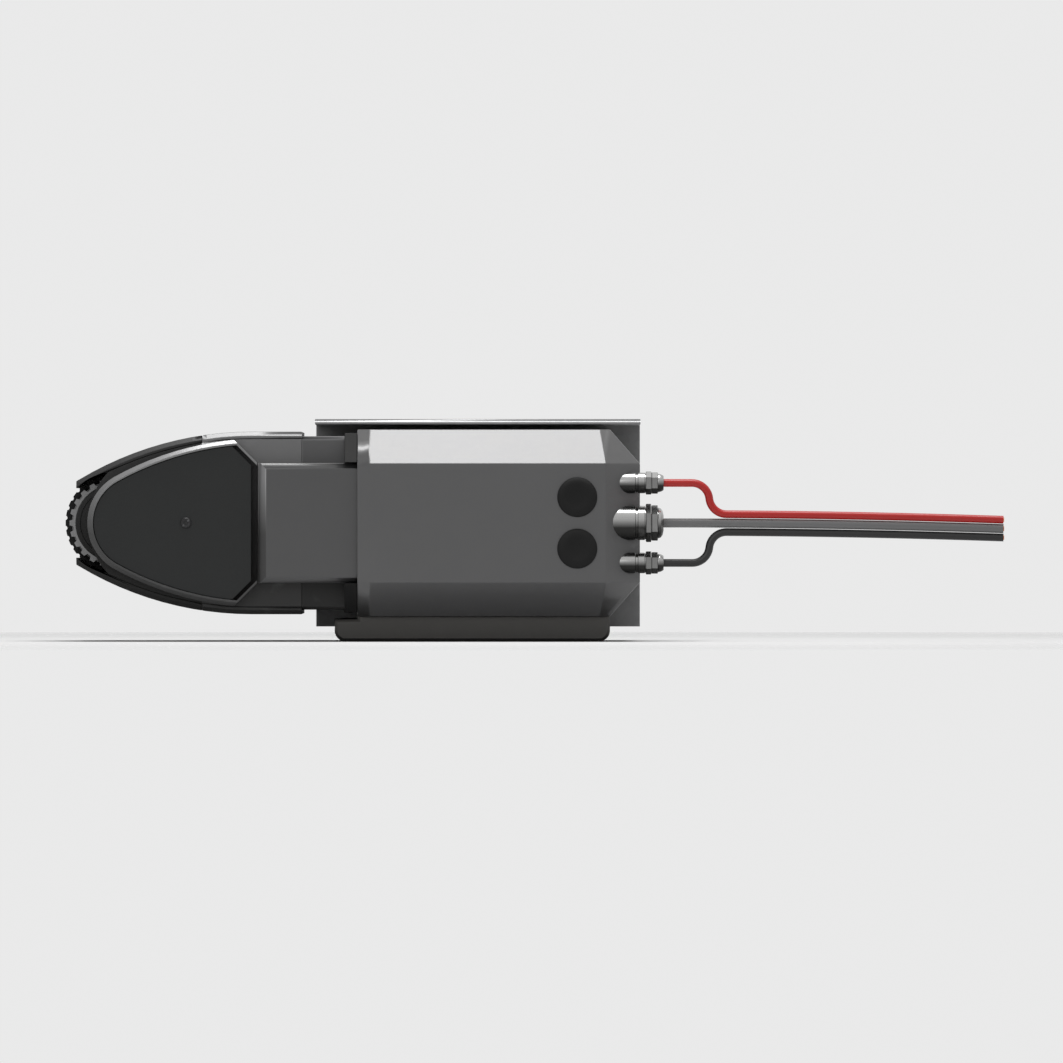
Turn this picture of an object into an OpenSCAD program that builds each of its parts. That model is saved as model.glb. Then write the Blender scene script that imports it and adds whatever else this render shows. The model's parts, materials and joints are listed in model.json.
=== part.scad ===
// Caravan motor mover: one drive unit beside a chassis rail, whose roller is pushed onto the tyre.
// Millimetres, +Z up. The origin is the centre of the mounting plate's rear face, which lies on the rail.
// The tyre is at -X, the leads leave at +X, and -Y points away from the rail.

/* [Mounting plate] */
// Length of the plate along the rail
plate_w = 230; // [222:1:250]
// How far the plate stands past the housing above and below
plate_rise = 8; // [7:0.5:12]
// Thickness of the plate
plate_t = 6; // [4:0.5:8]
// Depth of the top flange
flange_d = 90; // [40:5:120]
// Thickness of the top flange
flange_t = 4; // [3:0.5:4.5]
// Diameter of the holes for the rail bolts
bolt_d = 11; // [9:0.5:13]
// Distance between the two bolt columns
bolt_gap_x = 185; // [184:0.5:187]
// Distance between the two bolt rows
bolt_gap_z = 34; // [28:1:36]
// Height of the lower bolt row above the middle
bolt_low_z = 12; // [10:1:14]

/* [Housing] */
// Distance from the plate's left edge to the housing's mouth
mouth_inset = 31; // [28:1:34]
// Length of the housing
housing_l = 198; // [190:1:205]
// Height of the housing
housing_h = 131; // [128:1:134]
// Height of the flat front face
face_h = 83; // [78:1:88]
// Wall thickness of the housing
wall = 4; // [3:0.5:5]
// Length of the corner cuts at the lead end
end_cut = 21; // [14:1:26]
// Length of the slope between the front face and the lead end
end_slope = 24; // [18:1:26]
// Depth of the tray below the housing
belly_h = 17.5; // [12:0.5:22]
// Rounding of the tray's lower corners
belly_r = 7.5; // [4:0.5:10]
// Radius of the two service plugs
plug_r = 14; // [11:0.5:16]

/* [Slide] */
// Travel back from the tyre
stroke_in = 29; // [24:1:31]
// Travel further out than the rest position
stroke_out = 6; // [2:1:8]
// Diameter of the two guide rods
rod_d = 16; // [12:1:18]
// Diameter of the feed spindle
spindle_d = 14; // [10:1:16]
// Thickness of the rubber frame at the mouth
seal_t = 9; // [7:0.5:10]

/* [Head] */
// How far the head's top and bottom lie inside those of the housing
head_drop = 1.5; // [0.5:0.5:3]
// Thickness of the guards and the casing
skin_t = 5; // [3:0.5:6]
// Thickness of the two side plates
side_t = 8; // [7:0.5:10]
// Length of the head that is flat on top
flat_l = 35; // [32:1:38]
// Radius of the long curve from the flat to the nose
curve_r = 235; // [225:1:245]
// Height of the neck cover
neck_h = 84; // [76:1:86]
// Depth of the light rim
frame_d = 12; // [9:0.5:15]

/* [Roller] */
// Diameter of the grip sleeve
roller_d = 68; // [64:1:72]
// Length of the grip sleeve
roller_l = 134; // [110:1:150]
// Diameter over the ridges of the core
ridge_d = 62; // [58:1:63]
// Number of ridges round the core
ridge_count = 24; // [18:1:28]
// Length of core that shows beside the sleeve
ridge_w = 12; // [8:1:15]

/* [Drive] */
// Module of the gears
gear_m = 2; // [1.9:0.05:2.1]
// Teeth of the roller gear
roller_teeth = 20; // [18:1:21]
// Teeth of the idler, an odd number
idler_teeth = 31; // [29:2:33]
// Teeth of the motor pinion, an even number
pinion_teeth = 14; // [14:2:16]
// Width of the gears
gear_w = 12; // [9:0.5:13]
// Diameter of the drive motor
motor_d = 56; // [50:1:58]
// Length of the drive motor
motor_l = 84; // [70:1:92]
// Length of the planetary gearbox
gearbox_l = 50; // [40:1:54]

/* [Leads] */
// Diameter of the two power leads
lead_d = 5.5; // [4.5:0.1:6]
// Diameter of the control cable
control_d = 6.4; // [5.5:0.1:7]
// Diameter of the upper and lower glands
lead_gland_d = 14.5; // [14:0.5:17]
// Diameter of the middle gland
control_gland_d = 24; // [21:0.5:26]
// Distance between the gland axes
gland_gap = 28; // [26:0.5:30]
// How far the leads reach past the glands
lead_out = 238; // [150:1:300]

/* [Hidden] */
$fn = 72;
slip = 0.05;
gap = 0.3;
far = 400;
s2 = sqrt(2);
half_tan = tan(22.5);

plate_x = plate_w / 2;
mouth_x = -plate_x + mouth_inset;
tail_x = mouth_x + housing_l;
hh = housing_h / 2;
plate_z = hh + plate_rise;
fh = face_h / 2;

rear_t = 6;
stop_gap = 1;
rear_x = mouth_x - seal_t - stop_gap - stroke_in;
motor_gap = 2;
motor_x = rear_x - rear_t - motor_gap - motor_d / 2;
idler_x = motor_x - gear_m * (pinion_teeth + idler_teeth) / 2;
roller_x = idler_x - gear_m * (idler_teeth + roller_teeth) / 2;
roller_r = roller_d / 2;
hd = hh - head_drop;

cover_t = 3;
plate_gap = 11;
gear_gap = 3;
y_plate = -plate_t;
y_gcover = y_plate - plate_gap;
y_gear = y_gcover - cover_t - gear_gap;
y_gplate = y_gear - gear_w - gear_gap - 1;
y_gend = y_gplate - side_t;
y_roller = y_gend - 3;
y_ridge = y_roller - roller_l;
y_near = y_ridge - ridge_w - 3;
y_nend = y_near - side_t;
y_frame = y_nend - frame_d;
neck_proud = 6;
y_neck = y_frame - neck_proud;
neck_gap = 1.5;
neck_c = 4;
neck_boss = 8;
y_inner = y_neck - neck_gap;
y_front = y_inner - wall;

curve_x = rear_x - flat_l;
guard_gap = 70;
guard_x = rear_x - guard_gap;
nose_deg = 31;
nose_l = 20;
curve_n = 12;
tip_in = 33;
near_tip = 51;
far_tip = 60;
frame_x = rear_x - 31;
nh = neck_h / 2;

bolt_r = bolt_d / 2;
nut_r = 9.8;
nut_h = 8;
bolt_x0 = -plate_x + 15;
bolt_x1 = bolt_x0 + bolt_gap_x;
bolt_z1 = bolt_low_z + bolt_gap_z;

slide_gap = 0.7;
shroud_t = 3;
shroud_l = 65;
rod_r = rod_d / 2;
bush_t = 2;
tube_r = rod_r + bush_t + 3;
sh_i = hh - wall - slide_gap - shroud_t;
rod_z = sh_i - tube_r - 1.5;
rod_y = (y_gend + y_near) / 2;
block_x0 = mouth_x + 12;
block_x1 = block_x0 + 50;
bush_l = 16;
rod_end = block_x1 + 12;
boss_r = 6;
boss_l = 22;
boss_x0 = block_x1 + 10;
boss_x1 = boss_x0 + 62;
boss_z = hh - wall - boss_r - 0.5;
screw_r = 2.5;
head_r = 4.6;
head_l = 2.4;
block_sx = 15;
block_sz = 30;

spindle_y = y_nend + 44;
spindle_r = spindle_d / 2;
spin_x0 = rear_x + 49;
brk_x0 = block_x1 + 14;
brk_t = 6;
nutb_x1 = rear_x + shroud_l;
nutb_t = 8;
nut_body_r = spindle_r + 5;
nut_flange_r = spindle_r + 10;
act_s = 19;
act_gl = 28;
act_ml = 40;
act_r = 17;
foot_l = 28;

axle_r = 8;
near_j = 5;
far_j = 6;
near_bo = 11;
far_bo = 12;
bear_w = 6;
core_r = roller_r - 4.5;
idler_pin = 5;
idler_bore = 7;
tie_r = 6;
tie_z = hd - 24;
tie_low = hd - 28;
tie_pts = [[-46, tie_z], [-46, -tie_z], [-83, tie_low], [-83, -tie_low]];

gland_y = y_front + 17;
gland_end = tail_x + 16.5;
hex_x = tail_x + 4;
hex_t = 4;
lead_r = lead_d / 2;
control_r = control_d / 2;
gland_in = tail_x - 26;
lead_x0 = gland_end - 26;
lead_x1 = gland_end + lead_out;
bend_r = 2.2 * lead_d;
bundle_z = control_r + lead_r + gap;
droop = 4;
straight_x = gland_end + 20;

// Helpers: a cylinder along X or Y, a plate drawn in X and Z, a bar drawn in Y and Z, a box by two corners.
module along_x(x0, x1, r, y = 0, z = 0, n = $fn) {
    translate([x0, y, z]) rotate([0, 90, 0]) cylinder(r = r, h = x1 - x0, $fn = n);
}
module cone_x(x0, x1, ra, rb, y = 0, z = 0) {
    translate([x0, y, z]) rotate([0, 90, 0]) cylinder(r1 = ra, r2 = rb, h = x1 - x0);
}
module along_y(y0, y1, r, x = 0, z = 0, n = $fn) {
    translate([x, y0, z]) rotate([90, 0, 0]) cylinder(r = r, h = y0 - y1, $fn = n);
}
module cone_y(y0, y1, ra, rb, x = 0, z = 0) {
    translate([x, y0, z]) rotate([90, 0, 0]) cylinder(r1 = ra, r2 = rb, h = y0 - y1);
}
module sheet(y0, y1) {
    translate([0, y0, 0]) rotate([90, 0, 0]) linear_extrude(y0 - y1) children();
}
module bar(x0, x1) {
    translate([x0, 0, 0]) rotate([90, 0, 90]) linear_extrude(x1 - x0) children();
}
module box(x0, x1, y0, y1, z0, z1) {
    translate([x0, y0, z0]) cube([x1 - x0, y1 - y0, z1 - z0]);
}

// Housing outline, set in by i, drawn three ways: across, from the front, and from above.
function face_z(i) = fh - i * half_tan;
function chamfer_y(i) = y_front + i + (hh - i) - face_z(i);
function across(i) = [[y_plate, -hh + i], [chamfer_y(i), -hh + i], [y_front + i, -face_z(i)],
    [y_front + i, face_z(i)], [chamfer_y(i), hh - i], [y_plate, hh - i]];
cut_h = hh - fh;
cut_len = sqrt(end_cut * end_cut + cut_h * cut_h);
cut_c = cut_h * tail_x + end_cut * fh;
function cut_z(i) = (cut_c - i * cut_len - cut_h * (tail_x - i)) / end_cut;
function cut_x(i) = (cut_c - i * cut_len - end_cut * (hh - i)) / cut_h;
function front_view(i, x0) = [[x0, -hh + i], [cut_x(i), -hh + i], [tail_x - i, -cut_z(i)],
    [tail_x - i, cut_z(i)], [cut_x(i), hh - i], [x0, hh - i]];
function plan_view(i, x0) = [[x0, y_front + i], [tail_x - end_slope - i * half_tan, y_front + i],
    [tail_x - i, y_front + end_slope + i * half_tan], [tail_x - i, y_plate], [x0, y_plate]];
// A facet at the lead end takes off each chamfer's corner, through three points of the outline.
facet_a = [tail_x - end_slope, y_front, fh];
facet_b = [tail_x - end_slope - 4, chamfer_y(0), hh];
facet_c = [tail_x, y_front + end_slope, fh];
facet_way = cross(facet_c - facet_a, facet_b - facet_a);
facet_n = facet_way / norm(facet_way);
module end_facet(i) {
    translate(facet_a - i * facet_n) rotate([0, acos(facet_n[2]), atan2(facet_n[1], facet_n[0])])
        translate([-hh, -hh, 0]) cube(2 * hh);
}
module housing_form(i, x0) {
    difference() {
        intersection() {
            bar(x0, tail_x) polygon(across(i));
            sheet(y_plate, y_front) polygon(front_view(i, x0));
            translate([0, 0, -hh]) linear_extrude(housing_h) polygon(plan_view(i, x0));
        }
        end_facet(i);
        mirror([0, 0, 1]) end_facet(i);
    }
}

// Head outline, set in by i: flat at the rear, then one long curve, and straight on past the roller.
function curve_at(i, a, s, l) = [curve_x + (curve_r - i) * cos(a) - l * sin(a),
    s * (hd - curve_r + (curve_r - i) * sin(a) + l * cos(a))];
function curve_pts(i, s) = concat([for (k = [0 : curve_n]) curve_at(i, 90 + k * nose_deg / curve_n, s, 0)],
    [curve_at(i, 90 + nose_deg, s, nose_l)]);
module head_outline(i, x1) {
    polygon(concat([[x1, hd - i]], curve_pts(i, 1),
        [for (k = [curve_n + 1 : -1 : 0]) curve_pts(i, -1)[k]], [[x1, -hd + i]]));
}
module tip_clip(r) {
    translate([roller_x + tip_in, 0]) circle(r = r);
    translate([roller_x + tip_in, -far / 2]) square([far, far]);
}
module side_outline(i, r, x1) {
    intersection() {
        head_outline(i, x1);
        tip_clip(r);
    }
}
module skin(x0, x1, s) {
    sheet(y_gplate, y_nend) intersection() {
        difference() {
            head_outline(0, rear_x);
            head_outline(skin_t, rear_x + 1);
            translate([roller_x, 0]) circle(r = roller_r + 1.5);
        }
        translate([x0, s > 0 ? 1 : -far]) square([x1 - x0, far - 1]);
    }
}

// Gear outline with involute flanks, one tooth centred on the X axis.
press = 20;
function inv(a) = tan(a) * 180 / PI - a;
function half_tooth(z) = 90 / z - play / (gear_m * z) * 180 / PI / 2;
play = 0.35;
add = 0.8;
ded = 1.1;
function flank(z, r) = let (p = gear_m * z / 2, b = p * cos(press))
    half_tooth(z) + inv(press) - inv(acos(min(1, b / r)));
function flank_r(z, k) = let (p = gear_m * z / 2, lo = max(p * cos(press), p - ded * gear_m))
    lo + (p + add * gear_m - lo) * k / 4;
function polar(r, a) = [r * cos(a), r * sin(a)];
module gear_outline(z) {
    root = gear_m * z / 2 - ded * gear_m;
    polygon([for (t = [0 : z - 1]) let (m = t * 360 / z) for (p = concat(
        [polar(root, m - flank(z, flank_r(z, 0)))],
        [for (k = [0 : 4]) polar(flank_r(z, k), m - flank(z, flank_r(z, k)))],
        [for (k = [4 : -1 : 0]) polar(flank_r(z, k), m + flank(z, flank_r(z, k)))],
        [polar(root, m + flank(z, flank_r(z, 0)))])) p]);
}

// A countersunk screw from the plate's rear face, and its hole.
module flush_screw(x, z, l) {
    cone_y(-gap, -gap - head_l, head_r, screw_r, x, z);
    along_y(-gap - head_l, -l, screw_r, x, z);
}
module flush_hole(x, z) {
    cone_y(0, -gap - head_l, head_r + gap, screw_r + slip, x, z);
    along_y(1, -plate_t - 1, screw_r + slip, x, z);
}
plate_pts = [[boss_x0, boss_z], [boss_x0, -boss_z], [boss_x1, boss_z], [boss_x1, -boss_z],
    [block_x0 + block_sx - 4, block_sz], [block_x0 + block_sx - 4, -block_sz],
    [block_x1 - block_sx + 4, block_sz], [block_x1 - block_sx + 4, -block_sz],
    [brk_x0 + foot_l - 8, 13], [brk_x0 + foot_l - 8, -13]];

module mounting_plate() color([0.72, 0.73, 0.74]) difference() {
    union() {
        box(-plate_x, plate_x, -plate_t, 0, -plate_z, plate_z);
        box(-plate_x, plate_x, -flange_d, -plate_t, plate_z - flange_t, plate_z);
    }
    for (x = [bolt_x0, bolt_x1])
        for (z = [bolt_low_z, bolt_z1])
            along_y(1, -plate_t - 1, bolt_r, x, z);
    for (p = plate_pts)
        flush_hole(p[0], p[1]);
}

module weld_nuts() color([0.66, 0.66, 0.64])
    for (x = [bolt_x0, bolt_x1])
        for (z = [bolt_low_z, bolt_z1])
            difference() {
                along_y(-plate_t, -plate_t - nut_h, nut_r, x, z, 6);
                along_y(-plate_t + 1, -plate_t - nut_h - 1, bolt_r - 0.3, x, z);
            }

plug_x = tail_x - 44;
plug_z = 18;
plug_stem = plug_r - 4;
service_x0 = mouth_x + 34;
service_x1 = tail_x - 50;
facet_l = 9;
facet_d = 2;
facet_half = cut_h * s2;
module mouth_facet(turn, s) {
    translate([mouth_x, (y_front + chamfer_y(0)) / 2, s * (hh + fh) / 2]) rotate([turn, 0, 0])
        rotate([90, 0, 0]) translate([0, 0, -facet_half]) linear_extrude(2 * facet_half)
            polygon([[-2, -facet_d * (1 + 2 / facet_l)], [facet_l * 2, facet_d], [-2, facet_d]]);
}
module motor_housing() color([0.36, 0.36, 0.36]) {
    difference() {
        housing_form(0, mouth_x);
        housing_form(wall, mouth_x - 1);
        for (s = [-1, 1])
            along_y(y_inner + 1, y_front - 1, plug_stem + slip, plug_x, s * plug_z);
        for (s = [-1, 1])
            along_x(gland_in - 5, tail_x + 1, lead_gland_d / 2 + slip, gland_y, s * gland_gap);
        along_x(gland_in - 5, tail_x + 1, control_gland_d / 2 + slip, gland_y, 0);
        box(service_x0, service_x1, y_front + 60, y_plate - 40, -hh - 1, -hh + wall + 1);
        for (s = [-1, 1])
            mouth_facet(90 - 45 * s, s);
        for (x = belly_pts)
            for (y = belly_ys)
                translate([x, y, -hh - 1]) cylinder(r = screw_r + slip, h = wall + 2);
    }
    for (x = [boss_x0, boss_x1])
        for (s = [-1, 1])
            difference() {
                union() {
                    along_y(y_plate, y_plate - boss_l, boss_r, x, s * boss_z);
                    box(x - boss_r, x + boss_r, y_plate - boss_l, y_plate, s > 0 ? boss_z : -hh + 1,
                        s > 0 ? hh - 1 : -boss_z);
                }
                along_y(y_plate + 1, y_plate - boss_l + 3, screw_r + slip, x, s * boss_z);
            }
}

module plate_screws() color([0.6, 0.6, 0.62])
    for (p = plate_pts)
        flush_screw(p[0], p[1], plate_t + 10);

// The neck and the shroud behind it, as one outline grown by i, with its back left open to the plate.
function neck_form(i) = [[y_neck - i, -nh - i], [y_neck - i, nh + i], [y_nend - i, nh + i],
    [y_nend - i, shroud_z - shroud_cut + i * half_tan], [y_nend + shroud_cut - i * half_tan, shroud_z + i],
    [y_gcover + 1, shroud_z + i], [y_gcover + 1, -shroud_z - i],
    [y_nend + shroud_cut - i * half_tan, -shroud_z - i], [y_nend - i, -shroud_z + shroud_cut - i * half_tan],
    [y_nend - i, -nh - i]];
seal_in = 2.6;
module mouth_seal() color([0.05, 0.05, 0.05]) difference() {
    bar(mouth_x - seal_t, mouth_x) polygon(across(seal_in));
    bar(mouth_x - seal_t - 1, mouth_x + 1) polygon(neck_form(gap));
    box(mouth_x - seal_t - 1, mouth_x + 1, y_gcover, 1, -hh + wall + slide_gap, hh - wall - slide_gap);
    box(mouth_x - seal_t - 1, mouth_x + 1, y_front - 1, y_nend, -nh - gap, nh + gap);
}

arm_h = 14;
flange_l = 12;
module guide_block() color([0.62, 0.63, 0.64]) difference() {
    union() {
        box(block_x0, block_x1, y_plate - flange_l, y_plate, -rod_z - arm_h / 2, rod_z + arm_h / 2);
        for (s = [-1, 1]) {
            box(block_x0, block_x1, rod_y, y_plate - 1, s * rod_z - arm_h / 2, s * rod_z + arm_h / 2);
            along_x(block_x0, block_x1, tube_r, rod_y, s * rod_z);
        }
    }
    for (s = [-1, 1])
        along_x(block_x0 - 1, block_x1 + 1, rod_r + bush_t, rod_y, s * rod_z);
    for (p = [plate_pts[4], plate_pts[5], plate_pts[6], plate_pts[7]])
        along_y(y_plate + 1, y_plate - 11, screw_r + slip, p[0], p[1]);
}

module guide_bushes() color([0.74, 0.56, 0.3])
    for (s = [-1, 1])
        for (x = [block_x0, block_x1 - bush_l])
            difference() {
                along_x(x, x + bush_l, rod_r + bush_t - slip / 2, rod_y, s * rod_z);
                along_x(x - 1, x + bush_l + 1, rod_r + slip, rod_y, s * rod_z);
            }

belly_x0 = mouth_x - 16;
belly_x1 = tail_x - 21;
belly_y0 = y_front + cut_h + 4;
belly_y1 = y_plate - 16;
belly_pts = [service_x0 - 12, service_x1 + 12];
belly_ys = [belly_y0 + 20, belly_y1 - 20];
module tray_outline(i) {
    bottom = -hh - belly_h + i;
    r = belly_r - i;
    translate([belly_x0 + i, bottom + r]) square([belly_x1 - belly_x0 - 2 * i, belly_h - i - r + i]);
    translate([belly_x0 + i + r, bottom]) square([belly_x1 - belly_x0 - 2 * i - 2 * r, r + 1]);
    for (x = [belly_x0 + i + r, belly_x1 - i - r])
        translate([x, bottom + r]) circle(r = r);
}
module belly_cover() color([0.16, 0.16, 0.15]) difference() {
    union() {
        difference() {
            sheet(belly_y1, belly_y0) tray_outline(0);
            sheet(belly_y1 - cover_t, belly_y0 + cover_t) tray_outline(cover_t);
        }
        for (x = belly_pts)
            for (y = belly_ys)
                translate([x, y, -hh - belly_h + 1]) cylinder(r = boss_r, h = belly_h - 1);
    }
    box(belly_x0 - 1, mouth_x, belly_y0 - 1, belly_y1 + 1, -hh - 2, -hh + 1);
    box(belly_x0 - 1, far, belly_y0 - 1, belly_y1 + 1, -hh, -hh + belly_h);
    for (x = belly_pts)
        for (y = belly_ys)
            translate([x, y, -hh - belly_h - 1]) cylinder(r = screw_r + slip, h = belly_h + 2);
    for (x = belly_pts)
        for (y = belly_ys)
            translate([x, y, -hh - belly_h - 1]) cylinder(r = head_r + gap, h = 1 + 5);
}

module belly_screws() color([0.5, 0.5, 0.52])
    for (x = belly_pts)
        for (y = belly_ys) {
            translate([x, y, -hh - belly_h + 1.5]) cylinder(r = head_r, h = 3.5);
            translate([x, y, -hh - belly_h + 5]) cylinder(r = screw_r, h = belly_h - 5 + wall);
        }

plug_t = 3.2;
module service_plugs() color([0.04, 0.04, 0.04])
    for (s = [-1, 1])
        translate([plug_x, y_front, s * plug_z]) rotate([90, 0, 0]) rotate_extrude()
            polygon([[0, -wall - 2], [plug_stem, -wall - 2], [plug_stem, 0], [plug_r, 0], [plug_r, plug_t * 0.4],
                [plug_r - 1.2, plug_t * 0.75], [plug_r - 4, plug_t], [0, plug_t]]);

act_x0 = brk_x0 + brk_t;
module actuator_bracket() color([0.55, 0.56, 0.58]) difference() {
    union() {
        box(brk_x0, act_x0, spindle_y - act_s - 2, y_plate, -act_s - 3, act_s + 3);
        box(brk_x0, brk_x0 + foot_l, y_plate - brk_t, y_plate, -act_s - 3, act_s + 3);
    }
    along_x(brk_x0 - 1, act_x0 + 1, spindle_r + 7, spindle_y);
    for (p = [plate_pts[8], plate_pts[9]])
        along_y(y_plate + 1, y_plate - far / 20, screw_r + slip, p[0], p[1]);
}

jour_r = spindle_r - 1.5;
module spindle_bearing() color([0.8, 0.81, 0.82]) difference() {
    along_x(brk_x0, act_x0 - 0.2, spindle_r + 7 - slip, spindle_y);
    along_x(brk_x0 - 1, act_x0 + 1, jour_r + slip, spindle_y);
}

module actuator_gearbox() color([0.25, 0.25, 0.27]) difference() {
    box(act_x0, act_x0 + act_gl, spindle_y - act_s, spindle_y + act_s, -act_s, act_s);
    along_x(act_x0 - 1, act_x0 + 16, jour_r + slip, spindle_y);
}

module actuator_motor() color([0.7, 0.7, 0.72]) {
    along_x(act_x0 + act_gl, act_x0 + act_gl + act_ml, act_r, spindle_y);
    along_x(act_x0 + act_gl + act_ml - 1, act_x0 + act_gl + act_ml + 3, act_r - 8, spindle_y);
}

term_x = tail_x - 52;
module terminal_block() color([0.12, 0.12, 0.12]) {
    box(term_x, term_x + 30, y_plate - 20, y_plate, -46, -8);
    for (z = [-39, -27, -15])
        along_y(y_plate - 19, y_plate - 28, 3, term_x + 15, z);
}

// One gland: a body through the sloping wall, a hexagon, a domed nut and a rubber seal round the lead.
module gland_body(r, z, cr) {
    difference() {
        union() {
            along_x(gland_in, hex_x, r, gland_y, z);
            along_x(hex_x, hex_x + hex_t, r * 1.12, gland_y, z, 6);
        }
        along_x(gland_in - 1, hex_x + hex_t + 1, cr + 1, gland_y, z);
    }
}
module gland_nut(r, z, cr) {
    x0 = hex_x + hex_t;
    difference() {
        union() {
            along_x(x0, gland_end - 4, r * 1.04, gland_y, z, 6);
            cone_x(gland_end - 4, gland_end, r * 0.9, cr + 2.2, gland_y, z);
        }
        along_x(x0 - 1, gland_end + 1, cr + gap, gland_y, z);
        along_x(x0 - 1, x0 + 2, cr + 3, gland_y, z);
    }
}
module gland_seal(z, cr) {
    x0 = hex_x + hex_t;
    difference() {
        along_x(x0, x0 + 1.8, cr + 2.8, gland_y, z);
        along_x(x0 - 1, x0 + 3, cr + gap, gland_y, z);
    }
}
module lead_gland_bodies() color([0.75, 0.76, 0.77])
    for (s = [-1, 1])
        gland_body(lead_gland_d / 2, s * gland_gap, lead_r);
module lead_gland_nuts() color([0.8, 0.81, 0.82])
    for (s = [-1, 1])
        gland_nut(lead_gland_d / 2, s * gland_gap, lead_r);
module lead_gland_seals() color([0.06, 0.06, 0.06])
    for (s = [-1, 1])
        gland_seal(s * gland_gap, lead_r);
module control_gland_body() color([0.75, 0.76, 0.77]) gland_body(control_gland_d / 2, 0, control_r);
module control_gland_nut() color([0.8, 0.81, 0.82]) gland_nut(control_gland_d / 2, 0, control_r);
module control_gland_seal() color([0.06, 0.06, 0.06]) gland_seal(0, control_r);

// Leads: a tube through points in one upright plane; the middle cable is straight, the others bend in to it.
lead_sides = 12;
bend_n = 7;
sag_n = 8;
function sag(x) = let (t = max(0, x - gland_end) / lead_out) -droop * t * t;
run_x = straight_x + 2 * bend_r;
swing = acos(1 - (gland_gap - bundle_z) / (2 * bend_r));
mid_x = straight_x + bend_r * sin(swing);
end_bend_x = straight_x + 2 * bend_r * sin(swing);
function upper_path() = concat([[lead_x0, gland_gap], [straight_x - 8, gland_gap + sag(straight_x - 8)]],
    [for (k = [0 : bend_n]) let (a = swing * k / bend_n, x = straight_x + bend_r * sin(a))
        [x, gland_gap - bend_r * (1 - cos(a)) + sag(x)]],
    [for (k = [bend_n - 1 : -1 : 0]) let (a = swing * k / bend_n, x = end_bend_x - bend_r * sin(a))
        [x, bundle_z + bend_r * (1 - cos(a)) + sag(x)]],
    [for (k = [1 : sag_n]) let (x = end_bend_x + (lead_x1 - end_bend_x) * k / sag_n) [x, bundle_z + sag(x)]]);
function lower_path() = concat([[lead_x0, -gland_gap], [straight_x - 8, -gland_gap + sag(straight_x - 8)]],
    [for (k = [0 : bend_n]) let (a = swing * k / bend_n, x = straight_x + bend_r * sin(a))
        [x, -gland_gap + bend_r * (1 - cos(a)) + sag(x)]],
    [for (k = [bend_n - 1 : -1 : 0]) let (a = swing * k / bend_n, x = end_bend_x - bend_r * sin(a))
        [x, -bundle_z - bend_r * (1 - cos(a)) + sag(x)]],
    [for (k = [1 : sag_n]) let (x = end_bend_x + (lead_x1 - end_bend_x) * k / sag_n) [x, -bundle_z + sag(x)]]);
function middle_path() = concat([[lead_x0, 0]],
    [for (k = [1 : sag_n + 4]) let (x = gland_end + (lead_x1 - gland_end) * k / (sag_n + 4)) [x, sag(x)]]);
function unit2(v) = v / norm(v);
function along(p, k) = unit2(p[min(k + 1, len(p) - 1)] - p[max(k - 1, 0)]);
module lead(p, r) {
    n = len(p);
    m = lead_sides;
    polyhedron(
        points = [for (k = [0 : n - 1]) let (t = along(p, k)) for (j = [0 : m - 1])
            let (a = j * 360 / m)
            [p[k][0] - t[1] * r * sin(a), gland_y + r * cos(a), p[k][1] + t[0] * r * sin(a)]],
        faces = concat(
            [for (k = [0 : n - 2]) for (j = [0 : m - 1])
                [k * m + j, k * m + (j + 1) % m, (k + 1) * m + (j + 1) % m, (k + 1) * m + j]],
            [[for (j = [m - 1 : -1 : 0]) j]],
            [[for (j = [0 : m - 1]) (n - 1) * m + j]]));
}
module positive_lead() color([0.75, 0.08, 0.06]) lead(upper_path(), lead_r);
module negative_lead() color([0.05, 0.05, 0.05]) lead(lower_path(), lead_r);
module control_cable() color([0.35, 0.35, 0.36]) lead(middle_path(), control_r);

plate_in = skin_t + 0.2;
module near_plate() color([0.42, 0.42, 0.43]) difference() {
    sheet(y_near, y_nend) side_outline(plate_in, near_tip, rear_x);
    along_y(y_near + 1, y_near - bear_w, near_bo + slip, roller_x, 0);
    along_y(y_near + 1, y_nend - 1, near_j + 2, roller_x, 0);
    for (p = tie_pts)
        along_y(y_near + 1, y_nend - 1, screw_r + slip, rear_x + p[0], p[1]);
    along_y(y_near + 1, y_nend - 1, screw_r + slip, idler_x, 0);
    for (s = [-1, 1])
        along_y(y_near + 1, y_nend - 1, screw_r + slip, frame_x + 18, s * (nh - neck_boss));
}

module gear_plate() color([0.5, 0.5, 0.52]) difference() {
    sheet(y_gplate, y_gend) side_outline(plate_in, far_tip, rear_x);
    along_y(y_gend + bear_w, y_gend - 1, far_bo + slip, roller_x, 0);
    along_y(y_gplate + 1, y_gend - 1, far_j + 2, roller_x, 0);
    along_y(y_gplate + 1, y_gend - 1, idler_pin + slip, idler_x, 0);
    along_y(y_gplate + 1, y_gend - 1, far_j + 1.5, motor_x, 0);
    for (p = tie_pts)
        along_y(y_gplate + 1, y_gend - 1, screw_r + slip, rear_x + p[0], p[1]);
    for (p = case_pts)
        along_y(y_gplate + 1, y_gend - 1, screw_r + slip, p[0], p[1]);
}

module rear_plate() color([0.45, 0.45, 0.46]) difference() {
    box(rear_x - rear_t, rear_x, y_near, y_gend, -hd + plate_in, hd - plate_in);
    for (s = [-1, 1])
        along_x(rear_x - rear_t - 1, rear_x + 1, rod_r - 2 + slip, rod_y, s * rod_z);
}

module tie_bars() color([0.68, 0.68, 0.7])
    for (p = tie_pts)
        difference() {
            along_y(y_gend, y_near, tie_r, rear_x + p[0], p[1]);
            along_y(y_gend + 1, y_gend - 14, screw_r + slip, rear_x + p[0], p[1]);
            along_y(y_near + 14, y_near - 1, screw_r + slip, rear_x + p[0], p[1]);
        }

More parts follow.
